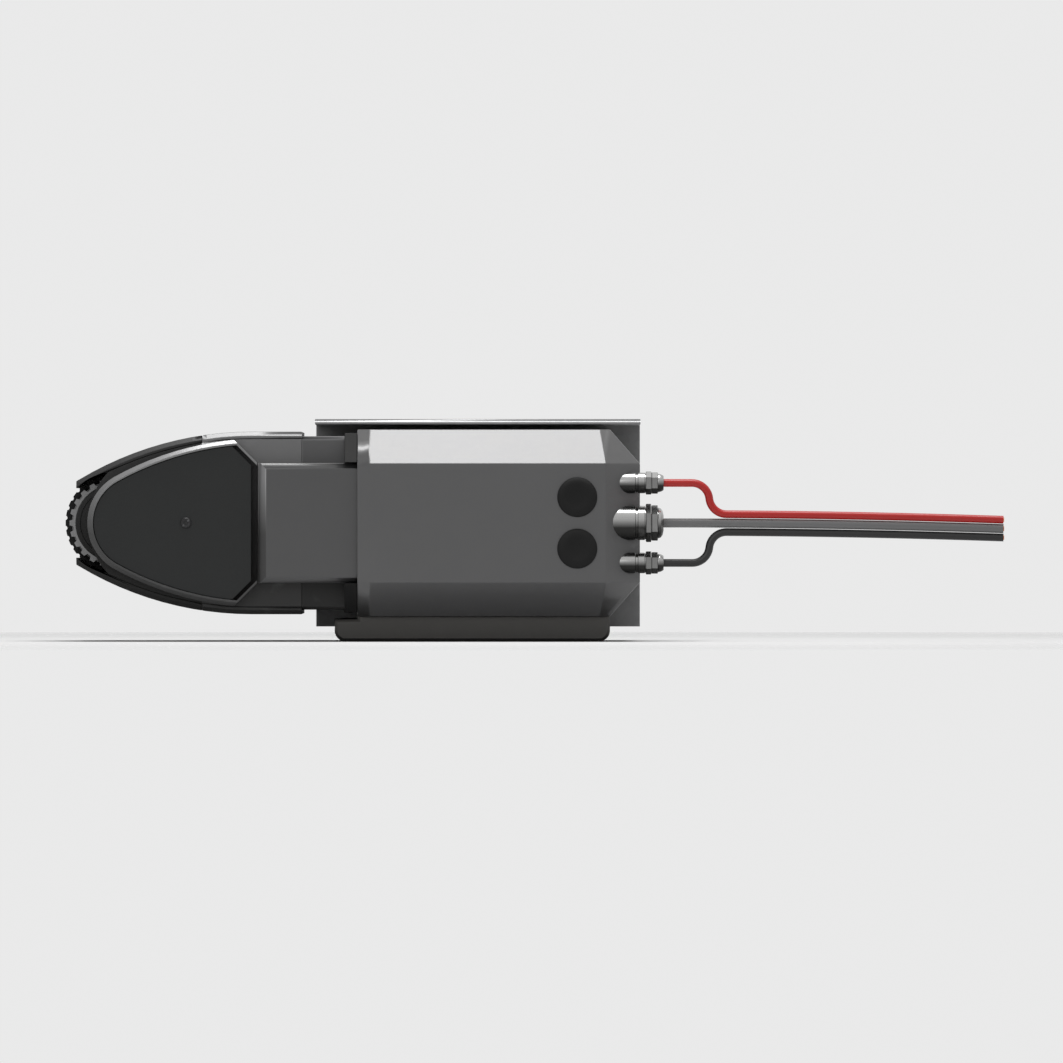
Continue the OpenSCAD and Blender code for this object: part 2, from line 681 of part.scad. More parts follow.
module tie_bar_screws() color([0.3, 0.3, 0.3])
    for (p = tie_pts) {
        along_y(y_nend + side_t + 12, y_nend, screw_r, rear_x + p[0], p[1]);
        along_y(y_nend, y_nend - 3, head_r, rear_x + p[0], p[1]);
        along_y(y_gplate, y_gend - 12, screw_r, rear_x + p[0], p[1]);
        along_y(y_gplate + 3, y_gplate, head_r, rear_x + p[0], p[1]);
    }

module upper_casing() color([0.38, 0.38, 0.38]) skin(guard_x + gap, rear_x, 1);
module lower_casing() color([0.36, 0.36, 0.36]) skin(guard_x + gap, rear_x, -1);
lip_x = roller_x - 26;
module upper_guard() color([0.05, 0.05, 0.05]) skin(lip_x, guard_x, 1);
module lower_guard() color([0.05, 0.05, 0.05]) skin(lip_x, guard_x, -1);

// Rim outline, set in by i: a long curve that runs into a round nose beside the roller.
rim_t = 4;
corner_t = 1.5;
rim_r = 215;
rim_drop = 4.8;
rim_top = hd - rim_drop;
nose_r = 37;
nose_x = roller_x + 19;
rim_turn = acos((rim_r - rim_top) / (rim_r - nose_r));
rim_x = nose_x + (rim_r - nose_r) * sin(rim_turn);
nose_n = 2 * curve_n;
nose_step = (180 - 2 * rim_turn) / nose_n;
function rim_at(i, a, s) = [rim_x + (rim_r - i) * cos(a), s * (rim_top - rim_r + (rim_r - i) * sin(a))];
function rim_pts(i, s) = [for (k = [0 : curve_n]) rim_at(i, 90 + k * rim_turn / curve_n, s)];
function nose_at(i, a) = [nose_x + (nose_r - i) * cos(a), (nose_r - i) * sin(a)];
function nose_pts(i) = [for (k = [1 : nose_n - 1]) nose_at(i, 90 + rim_turn + k * nose_step)];
module rim_outline(i) {
    polygon(concat([[rear_x, rim_top - i]], rim_pts(i, 1), nose_pts(i),
        [for (k = [curve_n : -1 : 0]) rim_pts(i, -1)[k]], [[rear_x, -rim_top + i]]));
}
// Straight rear edge, set in by k, between two corner cuts, set in by i.
module frame_rear(i, k) {
    c = nh - s2 * i;
    polygon([[-far, -hd], [frame_x + c - hd, -hd], [frame_x - k, -c - k], [frame_x - k, c + k],
        [frame_x + c - hd, hd], [-far, hd]]);
}
module frame_face(i) {
    intersection() {
        rim_outline(i);
        frame_rear(i, i);
    }
}
module side_frame() color([0.62, 0.63, 0.64]) difference() {
    sheet(y_nend, y_frame) frame_face(0);
    sheet(y_nend - 3, y_frame - 1) intersection() {
        rim_outline(rim_t);
        frame_rear(corner_t, -1);
    }
    along_y(y_nend + 1, y_frame - 1, screw_r + slip, idler_x, 0);
    along_y(y_nend + 1, y_frame - 1, near_j + 3, roller_x, 0);
    for (p = tie_pts)
        along_y(y_nend + 1, y_frame - 1, head_r + gap, rear_x + p[0], p[1]);
}

panel_t = 3;
panel_in = 1.2;
y_panel = y_frame + panel_in;
module side_panel() color([0.19, 0.2, 0.2]) difference() {
    sheet(y_panel + panel_t, y_panel) frame_face(rim_t + 0.2);
    along_y(y_panel + far, y_panel - 1, screw_r + slip, idler_x, 0);
}

module panel_screw() color([0.08, 0.08, 0.08]) {
    along_y(y_near, y_panel, screw_r, idler_x, 0);
    along_y(y_panel, y_panel - 1.6, head_r - 0.8, idler_x, 0);
}

neck_x1 = rear_x + shroud_l;
neck_t = 3;
neck_in = 5;
bevel = 6;
module neck_cover() color([0.32, 0.32, 0.32]) difference() {
    translate([0, 0, -nh]) linear_extrude(neck_h)
        polygon([[frame_x + 0.2, y_nend], [frame_x + 0.2, y_frame], [frame_x + bevel, y_neck], [neck_x1, y_neck],
            [neck_x1, y_nend]]);
    difference() {
        box(frame_x + bevel + neck_t, neck_x1 - neck_t, y_neck + neck_t, y_nend + 1, -nh + neck_in, nh - neck_in);
        for (s = [-1, 1])
            along_y(y_nend + 1, y_neck + neck_t - 1, boss_r, frame_x + 18, s * (nh - neck_boss));
    }
    for (s = [-1, 1])
        along_y(y_nend + 1, y_nend - 9, screw_r + slip, frame_x + 18, s * (nh - neck_boss));
    for (s = [-1, 1])
        bar(frame_x - 1, neck_x1 + 1) polygon([[y_neck - 1, s * (nh - neck_c - 1)], [y_neck - 1, s * (nh + 1)],
            [y_neck + neck_c + 1, s * (nh + 1)]]);
}

module neck_screws() color([0.3, 0.3, 0.3])
    for (s = [-1, 1]) {
        along_y(y_near, y_nend - 8, screw_r, frame_x + 18, s * (nh - neck_boss));
        along_y(y_near + 3, y_near, head_r, frame_x + 18, s * (nh - neck_boss));
    }

shroud_z = hh - wall - slide_gap;
inner_sum = hh - wall - chamfer_y(wall);
shroud_cut = max(1, shroud_z - y_nend - inner_sum + slide_gap * s2);
function shroud_form(i) = [[y_nend + i, -shroud_z + shroud_cut + i * half_tan],
    [y_nend + i, shroud_z - shroud_cut - i * half_tan],
    [y_nend + shroud_cut + i * half_tan, shroud_z - i], [y_gcover - 2, shroud_z - i],
    [y_gcover - 2, -shroud_z + i], [y_nend + shroud_cut + i * half_tan, -shroud_z + i]];
module slide_shroud() color([0.4, 0.4, 0.4]) difference() {
    bar(rear_x, rear_x + shroud_l) polygon(shroud_form(0));
    bar(rear_x - 1, rear_x + shroud_l + 1) polygon(shroud_form(shroud_t));
    box(rear_x - 1, rear_x + shroud_l + 1, y_gcover - 3, y_plate, -sh_i, sh_i);
}

collar_r = rod_r + 3;
module guide_rods() color([0.8, 0.8, 0.82])
    for (s = [-1, 1]) {
        along_x(rear_x, rod_end, rod_r, rod_y, s * rod_z);
        along_x(rear_x, rear_x + 5, collar_r, rod_y, s * rod_z);
        along_x(rear_x - rear_t - 11, rear_x, rod_r - 2, rod_y, s * rod_z);
    }

module rod_nuts() color([0.6, 0.6, 0.6])
    for (s = [-1, 1])
        difference() {
            along_x(rear_x - rear_t - 9, rear_x - rear_t, rod_r + 2.5, rod_y, s * rod_z, 6);
            along_x(rear_x - rear_t - 10, rear_x, rod_r - 2 + slip, rod_y, s * rod_z);
        }

module nut_bracket() color([0.5, 0.5, 0.5]) difference() {
    box(nutb_x1 - nutb_t, nutb_x1, y_nend + shroud_t, spindle_y + nut_flange_r + 2, -24, 24);
    along_x(nutb_x1 - nutb_t - 1, nutb_x1 + 1, nut_body_r + slip, spindle_y);
}

module spindle_nut() color([0.76, 0.58, 0.3]) difference() {
    union() {
        along_x(nutb_x1 - nutb_t - 4, nutb_x1, nut_body_r, spindle_y);
        along_x(nutb_x1, nutb_x1 + 4, nut_flange_r, spindle_y);
    }
    along_x(nutb_x1 - nutb_t - 5, nutb_x1 + 5, spindle_r + slip, spindle_y);
}

case_pts = [[roller_x + 22, 30], [roller_x + 22, -30], [motor_x + 24, 44], [motor_x + 24, -44]];
module gear_cover() color([0.3, 0.3, 0.31]) difference() {
    union() {
        difference() {
            sheet(y_gcover, y_gplate) side_outline(plate_in + 0.5, far_tip - 0.5, rear_x);
            sheet(y_gcover - cover_t, y_gplate - 1) side_outline(plate_in + 0.5 + cover_t, far_tip - 0.5 - cover_t,
                rear_x - cover_t);
        }
        along_y(y_gcover - 1, y_gear + 0.5, idler_pin + 5, idler_x, 0);
        for (p = case_pts)
            along_y(y_gcover - 1, y_gplate, screw_r + 2.5, p[0], p[1]);
    }
    along_y(y_gcover - cover_t, y_gplate, idler_pin + slip, idler_x, 0);
    for (p = case_pts)
        along_y(y_gcover + 1, y_gplate - 1, screw_r + slip, p[0], p[1]);
}

// Low heads, which pass behind the nuts on the mounting plate.
low_head = 2;
module gear_cover_screws() color([0.6, 0.6, 0.62])
    for (p = case_pts) {
        along_y(y_gcover, y_gplate - side_t, screw_r, p[0], p[1]);
        along_y(y_gcover + low_head, y_gcover, head_r, p[0], p[1]);
    }

mr = motor_d / 2;
shaft_in = 22;
module planetary_gearbox() color([0.55, 0.56, 0.57]) difference() {
    union() {
        along_y(y_gend, y_gend - 6, mr, motor_x, 0);
        along_y(y_gend - 6, y_gend - gearbox_l + 4, mr - 2, motor_x, 0);
        along_y(y_gend - gearbox_l + 4, y_gend - gearbox_l, mr, motor_x, 0);
    }
    along_y(y_gend + 1, y_gend - shaft_in, far_j + slip, motor_x, 0);
}
y_motor = y_gend - gearbox_l;
cap_l = 12;
module drive_motor() color([0.22, 0.22, 0.23]) along_y(y_motor, y_motor - motor_l + cap_l, mr - 1, motor_x, 0);
module motor_end_cap() color([0.1, 0.1, 0.1]) {
    along_y(y_motor - motor_l + cap_l, y_motor - motor_l + 3, mr, motor_x, 0);
    along_y(y_motor - motor_l + 3, y_motor - motor_l, mr - 10, motor_x, 0);
}

module roller_bearings() color([0.8, 0.81, 0.82]) {
    difference() {
        along_y(y_near, y_near - bear_w, near_bo, roller_x, 0);
        along_y(y_near + 1, y_near - bear_w - 1, near_j + slip, roller_x, 0);
    }
    difference() {
        along_y(y_gend + bear_w, y_gend, far_bo, roller_x, 0);
        along_y(y_gend + bear_w + 1, y_gend - 1, far_j + slip, roller_x, 0);
    }
}

module idler_axle() color([0.75, 0.75, 0.76]) along_y(y_gcover - cover_t, y_gend, idler_pin, idler_x, 0);

ridge_h = 2.6;
module ridge_outline() {
    n = ridge_count;
    r = ridge_d / 2;
    polygon([for (t = [0 : n - 1]) let (m = t * 360 / n, w = 360 / n) for (q = [
        polar(r - ridge_h, m - 0.32 * w), polar(r, m - 0.2 * w), polar(r, m + 0.2 * w),
        polar(r - ridge_h, m + 0.32 * w)]) q]);
}
module roller_core() color([0.78, 0.79, 0.8]) difference() {
    union() {
        along_y(y_roller, y_ridge, core_r, roller_x, 0);
        translate([roller_x, y_ridge, 0]) rotate([90, 0, 0]) linear_extrude(ridge_w) ridge_outline();
    }
    along_y(y_roller + 1, y_ridge - ridge_w - 1, axle_r + slip, roller_x, 0);
}

groove_n = 30;
groove_r = 1.6;
module roller_sleeve() color([0.05, 0.05, 0.05]) difference() {
    along_y(y_roller, y_ridge, roller_r, roller_x, 0);
    along_y(y_roller + 1, y_ridge - 1, core_r + slip, roller_x, 0);
    for (k = [0 : groove_n - 1]) {
        a = (k + 0.5) * 360 / groove_n;
        along_y(y_roller + 1, y_ridge - 1, groove_r, roller_x + (roller_r + 0.5) * cos(a), (roller_r + 0.5) * sin(a));
    }
}

module roller_axle() color([0.7, 0.7, 0.72]) {
    along_y(y_gear + 1, y_gend - 0.2, far_j, roller_x, 0);
    along_y(y_gend - 0.2, y_near + 0.2, axle_r, roller_x, 0);
    along_y(y_near + 0.2, y_nend - 2, near_j, roller_x, 0);
}

module roller_gear() color([0.6, 0.6, 0.58]) difference() {
    translate([roller_x, y_gear, 0]) rotate([90, 0, 0]) linear_extrude(gear_w) gear_outline(roller_teeth);
    along_y(y_gear + 1, y_gear - gear_w - 1, far_j + slip, roller_x, 0);
}

module idler_gear() color([0.58, 0.58, 0.56]) difference() {
    translate([idler_x, y_gear, 0]) rotate([90, 0, 0]) linear_extrude(gear_w) gear_outline(idler_teeth);
    along_y(y_gear + 1, y_gear - gear_w - 1, idler_bore + slip, idler_x, 0);
}

module idler_bush() color([0.74, 0.56, 0.3]) difference() {
    along_y(y_gear, y_gear - gear_w, idler_bore, idler_x, 0);
    along_y(y_gear + 1, y_gear - gear_w - 1, idler_pin + slip, idler_x, 0);
}

module motor_pinion() color([0.6, 0.6, 0.58]) {
    translate([motor_x, y_gear, 0]) rotate([90, 180 / pinion_teeth, 0])
        linear_extrude(gear_w) gear_outline(pinion_teeth);
    along_y(y_gear - gear_w, y_gend - shaft_in + 1, far_j, motor_x, 0);
}

module feed_spindle() color([0.72, 0.72, 0.74]) {
    along_x(spin_x0, brk_x0 - 0.2, spindle_r, spindle_y);
    along_x(brk_x0 - 0.2, act_x0 + 15, jour_r, spindle_y);
}

mounting_plate();
weld_nuts();
motor_housing();
plate_screws();
mouth_seal();
guide_block();
guide_bushes();
belly_cover();
belly_screws();
service_plugs();
actuator_bracket();
spindle_bearing();
actuator_gearbox();
actuator_motor();
terminal_block();
lead_gland_bodies();
lead_gland_nuts();
lead_gland_seals();
control_gland_body();
control_gland_nut();
control_gland_seal();
positive_lead();
negative_lead();
control_cable();
near_plate();
gear_plate();
rear_plate();
tie_bars();
tie_bar_screws();
upper_casing();
lower_casing();
upper_guard();
lower_guard();
side_frame();
side_panel();
panel_screw();
neck_cover();
neck_screws();
slide_shroud();
guide_rods();
rod_nuts();
nut_bracket();
spindle_nut();
gear_cover();
gear_cover_screws();
planetary_gearbox();
drive_motor();
motor_end_cap();
roller_bearings();
idler_axle();
roller_core();
roller_sleeve();
roller_axle();
roller_gear();
idler_gear();
idler_bush();
motor_pinion();
feed_spindle();
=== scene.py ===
# %% [markdown]
# # A motor mover
# The real unit is an electric drive: a cast housing on a mounting plate, a head that slides out of the housing, and a
# grooved roller that turns at the head's tip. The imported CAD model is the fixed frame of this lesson. It could be
# rendered as it stands, but its edges are knife sharp and its faces flat in colour. So each visible part is dressed
# with soft edges and a worked finish, and every size stays the one that the CAD part has.

# %% Load the frame
import json
import math

import bmesh
import bpy
from mathutils import Matrix, Vector


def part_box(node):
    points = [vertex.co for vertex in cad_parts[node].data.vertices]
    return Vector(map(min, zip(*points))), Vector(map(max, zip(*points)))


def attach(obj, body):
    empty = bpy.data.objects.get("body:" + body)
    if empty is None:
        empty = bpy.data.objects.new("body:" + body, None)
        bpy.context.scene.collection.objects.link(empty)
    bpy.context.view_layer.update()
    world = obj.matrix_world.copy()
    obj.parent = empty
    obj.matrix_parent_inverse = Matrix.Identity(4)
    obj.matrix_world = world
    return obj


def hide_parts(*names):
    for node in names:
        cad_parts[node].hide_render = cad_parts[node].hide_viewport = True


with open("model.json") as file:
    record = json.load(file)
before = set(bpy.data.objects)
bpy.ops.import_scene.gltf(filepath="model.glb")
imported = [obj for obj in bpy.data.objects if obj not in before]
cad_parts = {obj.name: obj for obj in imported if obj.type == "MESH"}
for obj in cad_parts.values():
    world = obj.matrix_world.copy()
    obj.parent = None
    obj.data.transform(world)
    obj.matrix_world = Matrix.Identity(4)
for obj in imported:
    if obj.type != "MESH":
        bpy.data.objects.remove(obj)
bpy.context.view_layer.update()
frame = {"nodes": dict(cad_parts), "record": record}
MM = 0.001
BODY_OF = {node: body for body, nodes in frame["record"]["behaviour"]["bodies"].items() for node in nodes}
print("frame loaded:", len(frame["nodes"]), "nodes")

# %% [markdown]
# ## Camera
# The unit is seen square on from its near side. An orthographic camera could do this, but a real picture is never quite
# parallel. So a long lens stands far back: it keeps the lines straight, and a trace of depth is left.

# %% Camera
AIM = Vector((38 * MM, -110 * MM, -6 * MM))
TOWARDS_CAMERA = Vector((0, -1, 0))
CAMERA_DISTANCE = 14.0
VIEW_WIDTH = 0.75
SENSOR = 36.0
FAR_LIMIT = 100

camera_data = bpy.data.cameras.new("camera")
camera_data.sensor_width = SENSOR
camera_data.lens = SENSOR * CAMERA_DISTANCE / VIEW_WIDTH
camera_data.clip_end = FAR_LIMIT
camera = bpy.data.objects.new("camera", camera_data)
bpy.context.scene.collection.objects.link(camera)
camera.location = AIM + TOWARDS_CAMERA * CAMERA_DISTANCE
camera.rotation_euler = (-TOWARDS_CAMERA).to_track_quat("-Z", "Y").to_euler()
bpy.context.scene.camera = camera
print("lens", round(camera_data.lens), "mm")

# %% [markdown]
# ## Shared effects
# Paint and metal on the real unit share the same marks: fine grain, bare edges, dust on top, brush lines and zinc
# crystals. On top of these, the pale bare edges also paint glints, the dust also paints light on top, and a painted
# shade darkens what looks down and what lies low. Each could be drawn anew in every material. Here each is a node
# group with named sockets that is built once, so that a finish only sets its own strength. All of them read Object
# coordinates, which stay put on a piece when it moves.

# %% Node helpers
def new_group(name, inputs, outputs):
    group = bpy.data.node_groups.new(name, "ShaderNodeTree")
    for label, value in inputs.items():
        socket = group.interface.new_socket(label, in_out="INPUT", socket_type="NodeSocketFloat")
        socket.default_value = value
    for label in outputs:
        group.interface.new_socket(label, in_out="OUTPUT", socket_type="NodeSocketFloat")
    return group, group.nodes.new("NodeGroupInput").outputs, group.nodes.new("NodeGroupOutput").inputs


def feed(tree, value, socket):
    if isinstance(value, (int, float)):
        socket.default_value = value
    else:
        tree.links.new(value, socket)


def math_node(tree, operation, *values, clamp=False):
    node = tree.nodes.new("ShaderNodeMath")
    node.operation = operation
    node.use_clamp = clamp
    for value, socket in zip(values, node.inputs):
        feed(tree, value, socket)
    return node.outputs[0]


def ramp_node(tree, value, low, high):
    node = tree.nodes.new("ShaderNodeMapRange")
    node.inputs["From Min"].default_value = low
    node.inputs["From Max"].default_value = high
    tree.links.new(value, node.inputs["Value"])
    return node.outputs["Result"]


print("helpers for nodes, values and ramps")

# %% Noise and directions
def noise_node(tree, scale, detail, vector, rough=0.55):
    node = tree.nodes.new("ShaderNodeTexNoise")
    node.inputs["Detail"].default_value = detail
    node.inputs["Roughness"].default_value = rough
    feed(tree, scale, node.inputs["Scale"])
    tree.links.new(vector, node.inputs["Vector"])
    return node.outputs["Fac"]


def coords(tree, kind="Object"):
    return tree.nodes.new("ShaderNodeTexCoord").outputs[kind]


def upright(tree, vector):
    node = tree.nodes.new("ShaderNodeSeparateXYZ")
    tree.links.new(vector, node.inputs[0])
    return node.outputs["Z"]


print("helpers for noise and directions")

# %% Grain: fine pimples over broad clouds
GRAIN_DETAIL = 3
CLOUD_DETAIL = 5
CLOUD_RANGE = (0.3, 0.7)

GRAIN, given, made = new_group("grain", {"Scale": 900.0, "Cloud Scale": 18.0}, ["Height", "Cloud"])
spots = coords(GRAIN)
cloud = noise_node(GRAIN, given["Cloud Scale"], CLOUD_DETAIL, spots)
GRAIN.links.new(noise_node(GRAIN, given["Scale"], GRAIN_DETAIL, spots), made["Height"])
GRAIN.links.new(ramp_node(GRAIN, cloud, *CLOUD_RANGE), made["Cloud"])
print("effect:", GRAIN.name)

# %% Edge wear and painted glints: pale ridges of the mesh, broken up by noise
RIDGE_RANGE = (0.58, 0.7)
BREAKUP_RANGE = (0.35, 0.62)
BREAKUP_DETAIL = 4

WEAR_AND_GLINT, given, made = new_group("edge_wear_and_glint", {"Amount": 0.5, "Scale": 160.0}, ["Mask"])
ridge = ramp_node(WEAR_AND_GLINT, WEAR_AND_GLINT.nodes.new("ShaderNodeNewGeometry").outputs["Pointiness"], *RIDGE_RANGE)
breakup = ramp_node(WEAR_AND_GLINT, noise_node(WEAR_AND_GLINT, given["Scale"], BREAKUP_DETAIL, coords(WEAR_AND_GLINT)), *BREAKUP_RANGE)
mask = math_node(WEAR_AND_GLINT, "MULTIPLY", ridge, breakup)
WEAR_AND_GLINT.links.new(math_node(WEAR_AND_GLINT, "MULTIPLY", mask, given["Amount"], clamp=True), made["Mask"])
print("effect:", WEAR_AND_GLINT.name)

# %% Dust and painted top light: paler where the surface looks up
UPWARD_RANGE = (-0.1, 0.95)
PATCH_RANGE = (0.38, 0.72)
PATCH_DETAIL = 6
PATCH_ROUGHNESS = 0.65

DUST_AND_TOP_LIGHT, given, made = new_group("dust_and_top_light", {"Amount": 0.3, "Scale": 45.0}, ["Mask"])
upward = ramp_node(DUST_AND_TOP_LIGHT, upright(DUST_AND_TOP_LIGHT, coords(DUST_AND_TOP_LIGHT, "Normal")), *UPWARD_RANGE)
patches = noise_node(DUST_AND_TOP_LIGHT, given["Scale"], PATCH_DETAIL, coords(DUST_AND_TOP_LIGHT), PATCH_ROUGHNESS)
mask = math_node(DUST_AND_TOP_LIGHT, "MULTIPLY", upward, ramp_node(DUST_AND_TOP_LIGHT, patches, *PATCH_RANGE))
DUST_AND_TOP_LIGHT.links.new(math_node(DUST_AND_TOP_LIGHT, "MULTIPLY", mask, given["Amount"], clamp=True), made["Mask"])
print("effect:", DUST_AND_TOP_LIGHT.name)

# %% Painted shade: darker on whatever looks down, and darker still towards the ground
LOW_SHADE_TOP = 32 * MM
LOW_SHADE_FULL = -8 * MM
DOWNWARD_FADE = 0.7
SHADE_NOISE_RANGE = (-0.6, 0.42)
SHADE_NOISE_DETAIL = 4
UNDER_SHADE_INPUTS = {"Amount": 0.5, "Edge": 0.15, "Splash": 0.0, "Scale": 60.0}

# Painted shade: faces that look down, and whatever lies low when Splash is set, are made darker, broken up by noise.
UNDER_SHADE, given, made = new_group("under_shade", UNDER_SHADE_INPUTS, ["Mask"])
spots = coords(UNDER_SHADE)
below = math_node(UNDER_SHADE, "SUBTRACT", given["Edge"], upright(UNDER_SHADE, coords(UNDER_SHADE, "Normal")))
downward = ramp_node(UNDER_SHADE, below, 0.0, DOWNWARD_FADE)
low = ramp_node(UNDER_SHADE, upright(UNDER_SHADE, spots), LOW_SHADE_TOP, LOW_SHADE_FULL)
low = math_node(UNDER_SHADE, "MULTIPLY", low, given["Splash"])
shade_cover = ramp_node(UNDER_SHADE, noise_node(UNDER_SHADE, given["Scale"], SHADE_NOISE_DETAIL, spots), *SHADE_NOISE_RANGE)
mask = math_node(UNDER_SHADE, "MULTIPLY", math_node(UNDER_SHADE, "MAXIMUM", downward, low), shade_cover)
UNDER_SHADE.links.new(math_node(UNDER_SHADE, "MULTIPLY", mask, given["Amount"], clamp=True), made["Mask"])
print("effect:", UNDER_SHADE.name)

# %% Brushing: noise drawn out along X
LINE_STRETCH = (0.03, 1.0, 1.0)
LINE_DETAIL = 4

BRUSHED, given, made = new_group("brushing", {"Scale": 600.0}, ["Streak"])
stretch = BRUSHED.nodes.new("ShaderNodeMapping")
stretch.inputs["Scale"].default_value = LINE_STRETCH
BRUSHED.links.new(coords(BRUSHED), stretch.inputs["Vector"])
BRUSHED.links.new(noise_node(BRUSHED, given["Scale"], LINE_DETAIL, stretch.outputs[0]), made["Streak"])
print("effect:", BRUSHED.name)

# %% Zinc crystals: cells that each have a tone of their own
ZINC, given, made = new_group("zinc_crystals", {"Scale": 190.0}, ["Tone"])
crystals = ZINC.nodes.new("ShaderNodeTexVoronoi")
ZINC.links.new(given["Scale"], crystals.inputs["Scale"])
ZINC.links.new(coords(ZINC), crystals.inputs["Vector"])
tone = ZINC.nodes.new("ShaderNodeSeparateColor")
ZINC.links.new(crystals.outputs["Color"], tone.inputs[0])
ZINC.links.new(tone.outputs[0], made["Tone"])
print("effect:", ZINC.name)

# %% [markdown]
# ## Finishes
# The real unit shows satin grey paint on castings, bare zinc, black rubber and plastic, nickel and alloy, and all of it
# is road worn. Each material could be wired by hand. One function lays the effects over a base colour instead: clouds
# shift the colour, wear bares a paler edge that also paints a glint, dust greys and pales what looks up and so also
# paints light on top, a painted shade darkens what looks down and what lies low, and grain feeds the bump. A finish is
# then one line of values, which makes them easy to set side by side.

# %% Layers of a finish
def shaded(colour, factor):
    return tuple(min(1, c * factor) for c in colour)


def effect(tree, group, **values):
    node = tree.nodes.new("ShaderNodeGroup")
    node.node_tree = group
    for label, value in values.items():
        node.inputs[label.replace("_", " ")].default_value = value
    return node.outputs


def mixed(tree, mask, base, top):
    node = tree.nodes.new("ShaderNodeMix")
    node.data_type = "RGBA"
    tree.links.new(mask, node.inputs["Factor"])
    for label, value in (("A", base), ("B", top)):
        socket = next(s for s in node.inputs if s.name == label and s.type == "RGBA")
        if isinstance(value, tuple):
            socket.default_value = (*value, 1)
        else:
            tree.links.new(value, socket)
    return next(s for s in node.outputs if s.type == "RGBA")


def roughened(tree, rough, mask, amount):
    return math_node(tree, "ADD", rough, math_node(tree, "MULTIPLY", mask, amount), clamp=True)


print("helpers for layers")

# %% Finish builder
# The shade colour paints shade, the dust colour also paints top light, and the bare edge also paints glints.
UNDER_SHADE_COLOUR = (0.012, 0.0117, 0.011)
DUST_AND_TOP_LIGHT_COLOUR = (0.3, 0.285, 0.26)
BARE_EDGE_AND_GLINT = (0.4, 0.4, 0.41)
CLOUD_SCALE = 6.0
CLOUD_ROUGHNESS = 0.03
DUST_ROUGHNESS = 0.3
UNDER_SHADE_ROUGHNESS = 0.25
COAT_ROUGHNESS = 0.25
CRYSTAL_SHARE = 0.8
STREAK_SHADE = 0.6
RELIEF_DEPTH = 0.4 * MM


def finish(name, colour, metallic=0.0, roughness=0.5, gloss=0.5, spread=0.02, grain=900.0, bump=0.015, wear_and_glint=0.3,
           wear_and_glint_colour=BARE_EDGE_AND_GLINT, dust_and_top_light=0.06, under_shade=0.0, edge=0.15, low_shade=0.0, streak=0.0, zinc=0.0, coat=0.0):
    material = bpy.data.materials.new(name)
    material.use_nodes = True
    material.diffuse_color = (*colour, 1)
    tree = material.node_tree
    shader = tree.nodes["Principled BSDF"].inputs
    shader["Metallic"].default_value = metallic
    shader["Specular IOR Level"].default_value = gloss
    shader["Coat Weight"].default_value = coat
    shader["Coat Roughness"].default_value = COAT_ROUGHNESS
    skin = effect(tree, GRAIN, Scale=grain, Cloud_Scale=CLOUD_SCALE)
    height = skin["Height"]
    tint = mixed(tree, skin["Cloud"], shaded(colour, 1 - spread), shaded(colour, 1 + spread))
    rough = math_node(tree, "MULTIPLY_ADD", skin["Cloud"], CLOUD_ROUGHNESS, roughness - CLOUD_ROUGHNESS / 2)
    if zinc:
        crystal = math_node(tree, "MULTIPLY", effect(tree, ZINC)["Tone"], CRYSTAL_SHARE)
        tint = mixed(tree, crystal, tint, shaded(colour, 1 + zinc))
    if streak:
        height = effect(tree, BRUSHED)["Streak"]
        tint = mixed(tree, math_node(tree, "MULTIPLY", height, streak), tint, shaded(colour, STREAK_SHADE))
    # Pale worn edges, which also paint glints along the bevels.
    if wear_and_glint:
        tint = mixed(tree, effect(tree, WEAR_AND_GLINT, Amount=wear_and_glint)["Mask"], tint, wear_and_glint_colour)
    # Dust on top, which also paints light on the faces that look up.
    if dust_and_top_light:
        dust_and_top_light_mask = effect(tree, DUST_AND_TOP_LIGHT, Amount=dust_and_top_light)["Mask"]
        tint = mixed(tree, dust_and_top_light_mask, tint, DUST_AND_TOP_LIGHT_COLOUR)
        rough = roughened(tree, rough, dust_and_top_light_mask, DUST_ROUGHNESS)
    # Painted shade: the shade colour darkens what looks down and what lies low.
    if under_shade:
        shade_cover = effect(tree, UNDER_SHADE, Amount=under_shade, Edge=edge, Splash=low_shade)["Mask"]
        tint = mixed(tree, shade_cover, tint, UNDER_SHADE_COLOUR)
        rough = roughened(tree, rough, shade_cover, UNDER_SHADE_ROUGHNESS)
    tree.links.new(tint, shader["Base Color"])
    tree.links.new(rough, shader["Roughness"])
    relief = tree.nodes.new("ShaderNodeBump")
    relief.inputs["Strength"].default_value = bump
    relief.inputs["Distance"].default_value = RELIEF_DEPTH
    tree.links.new(height, relief.inputs["Height"])
    tree.links.new(relief.outputs[0], shader["Normal"])
    return material


print("finish builder ready")

# %% Paints
CAST_GREY = finish("cast_grey_paint", (0.094, 0.094, 0.0955), metallic=0.35, roughness=0.36, spread=0.05,
                   grain=1300.0, bump=0.09, wear_and_glint=0.5, dust_and_top_light=0.12, coat=0.4)
# Painted shade: the neck's paint is the housing's paint made darker, for the shade of its recess.
SHADED_NECK_GREY = finish("shaded_neck_grey_paint", (0.066, 0.066, 0.0672), metallic=0.35, roughness=0.38, spread=0.05,
                   grain=1300.0, bump=0.09, wear_and_glint=0.5, dust_and_top_light=0.12, coat=0.4)
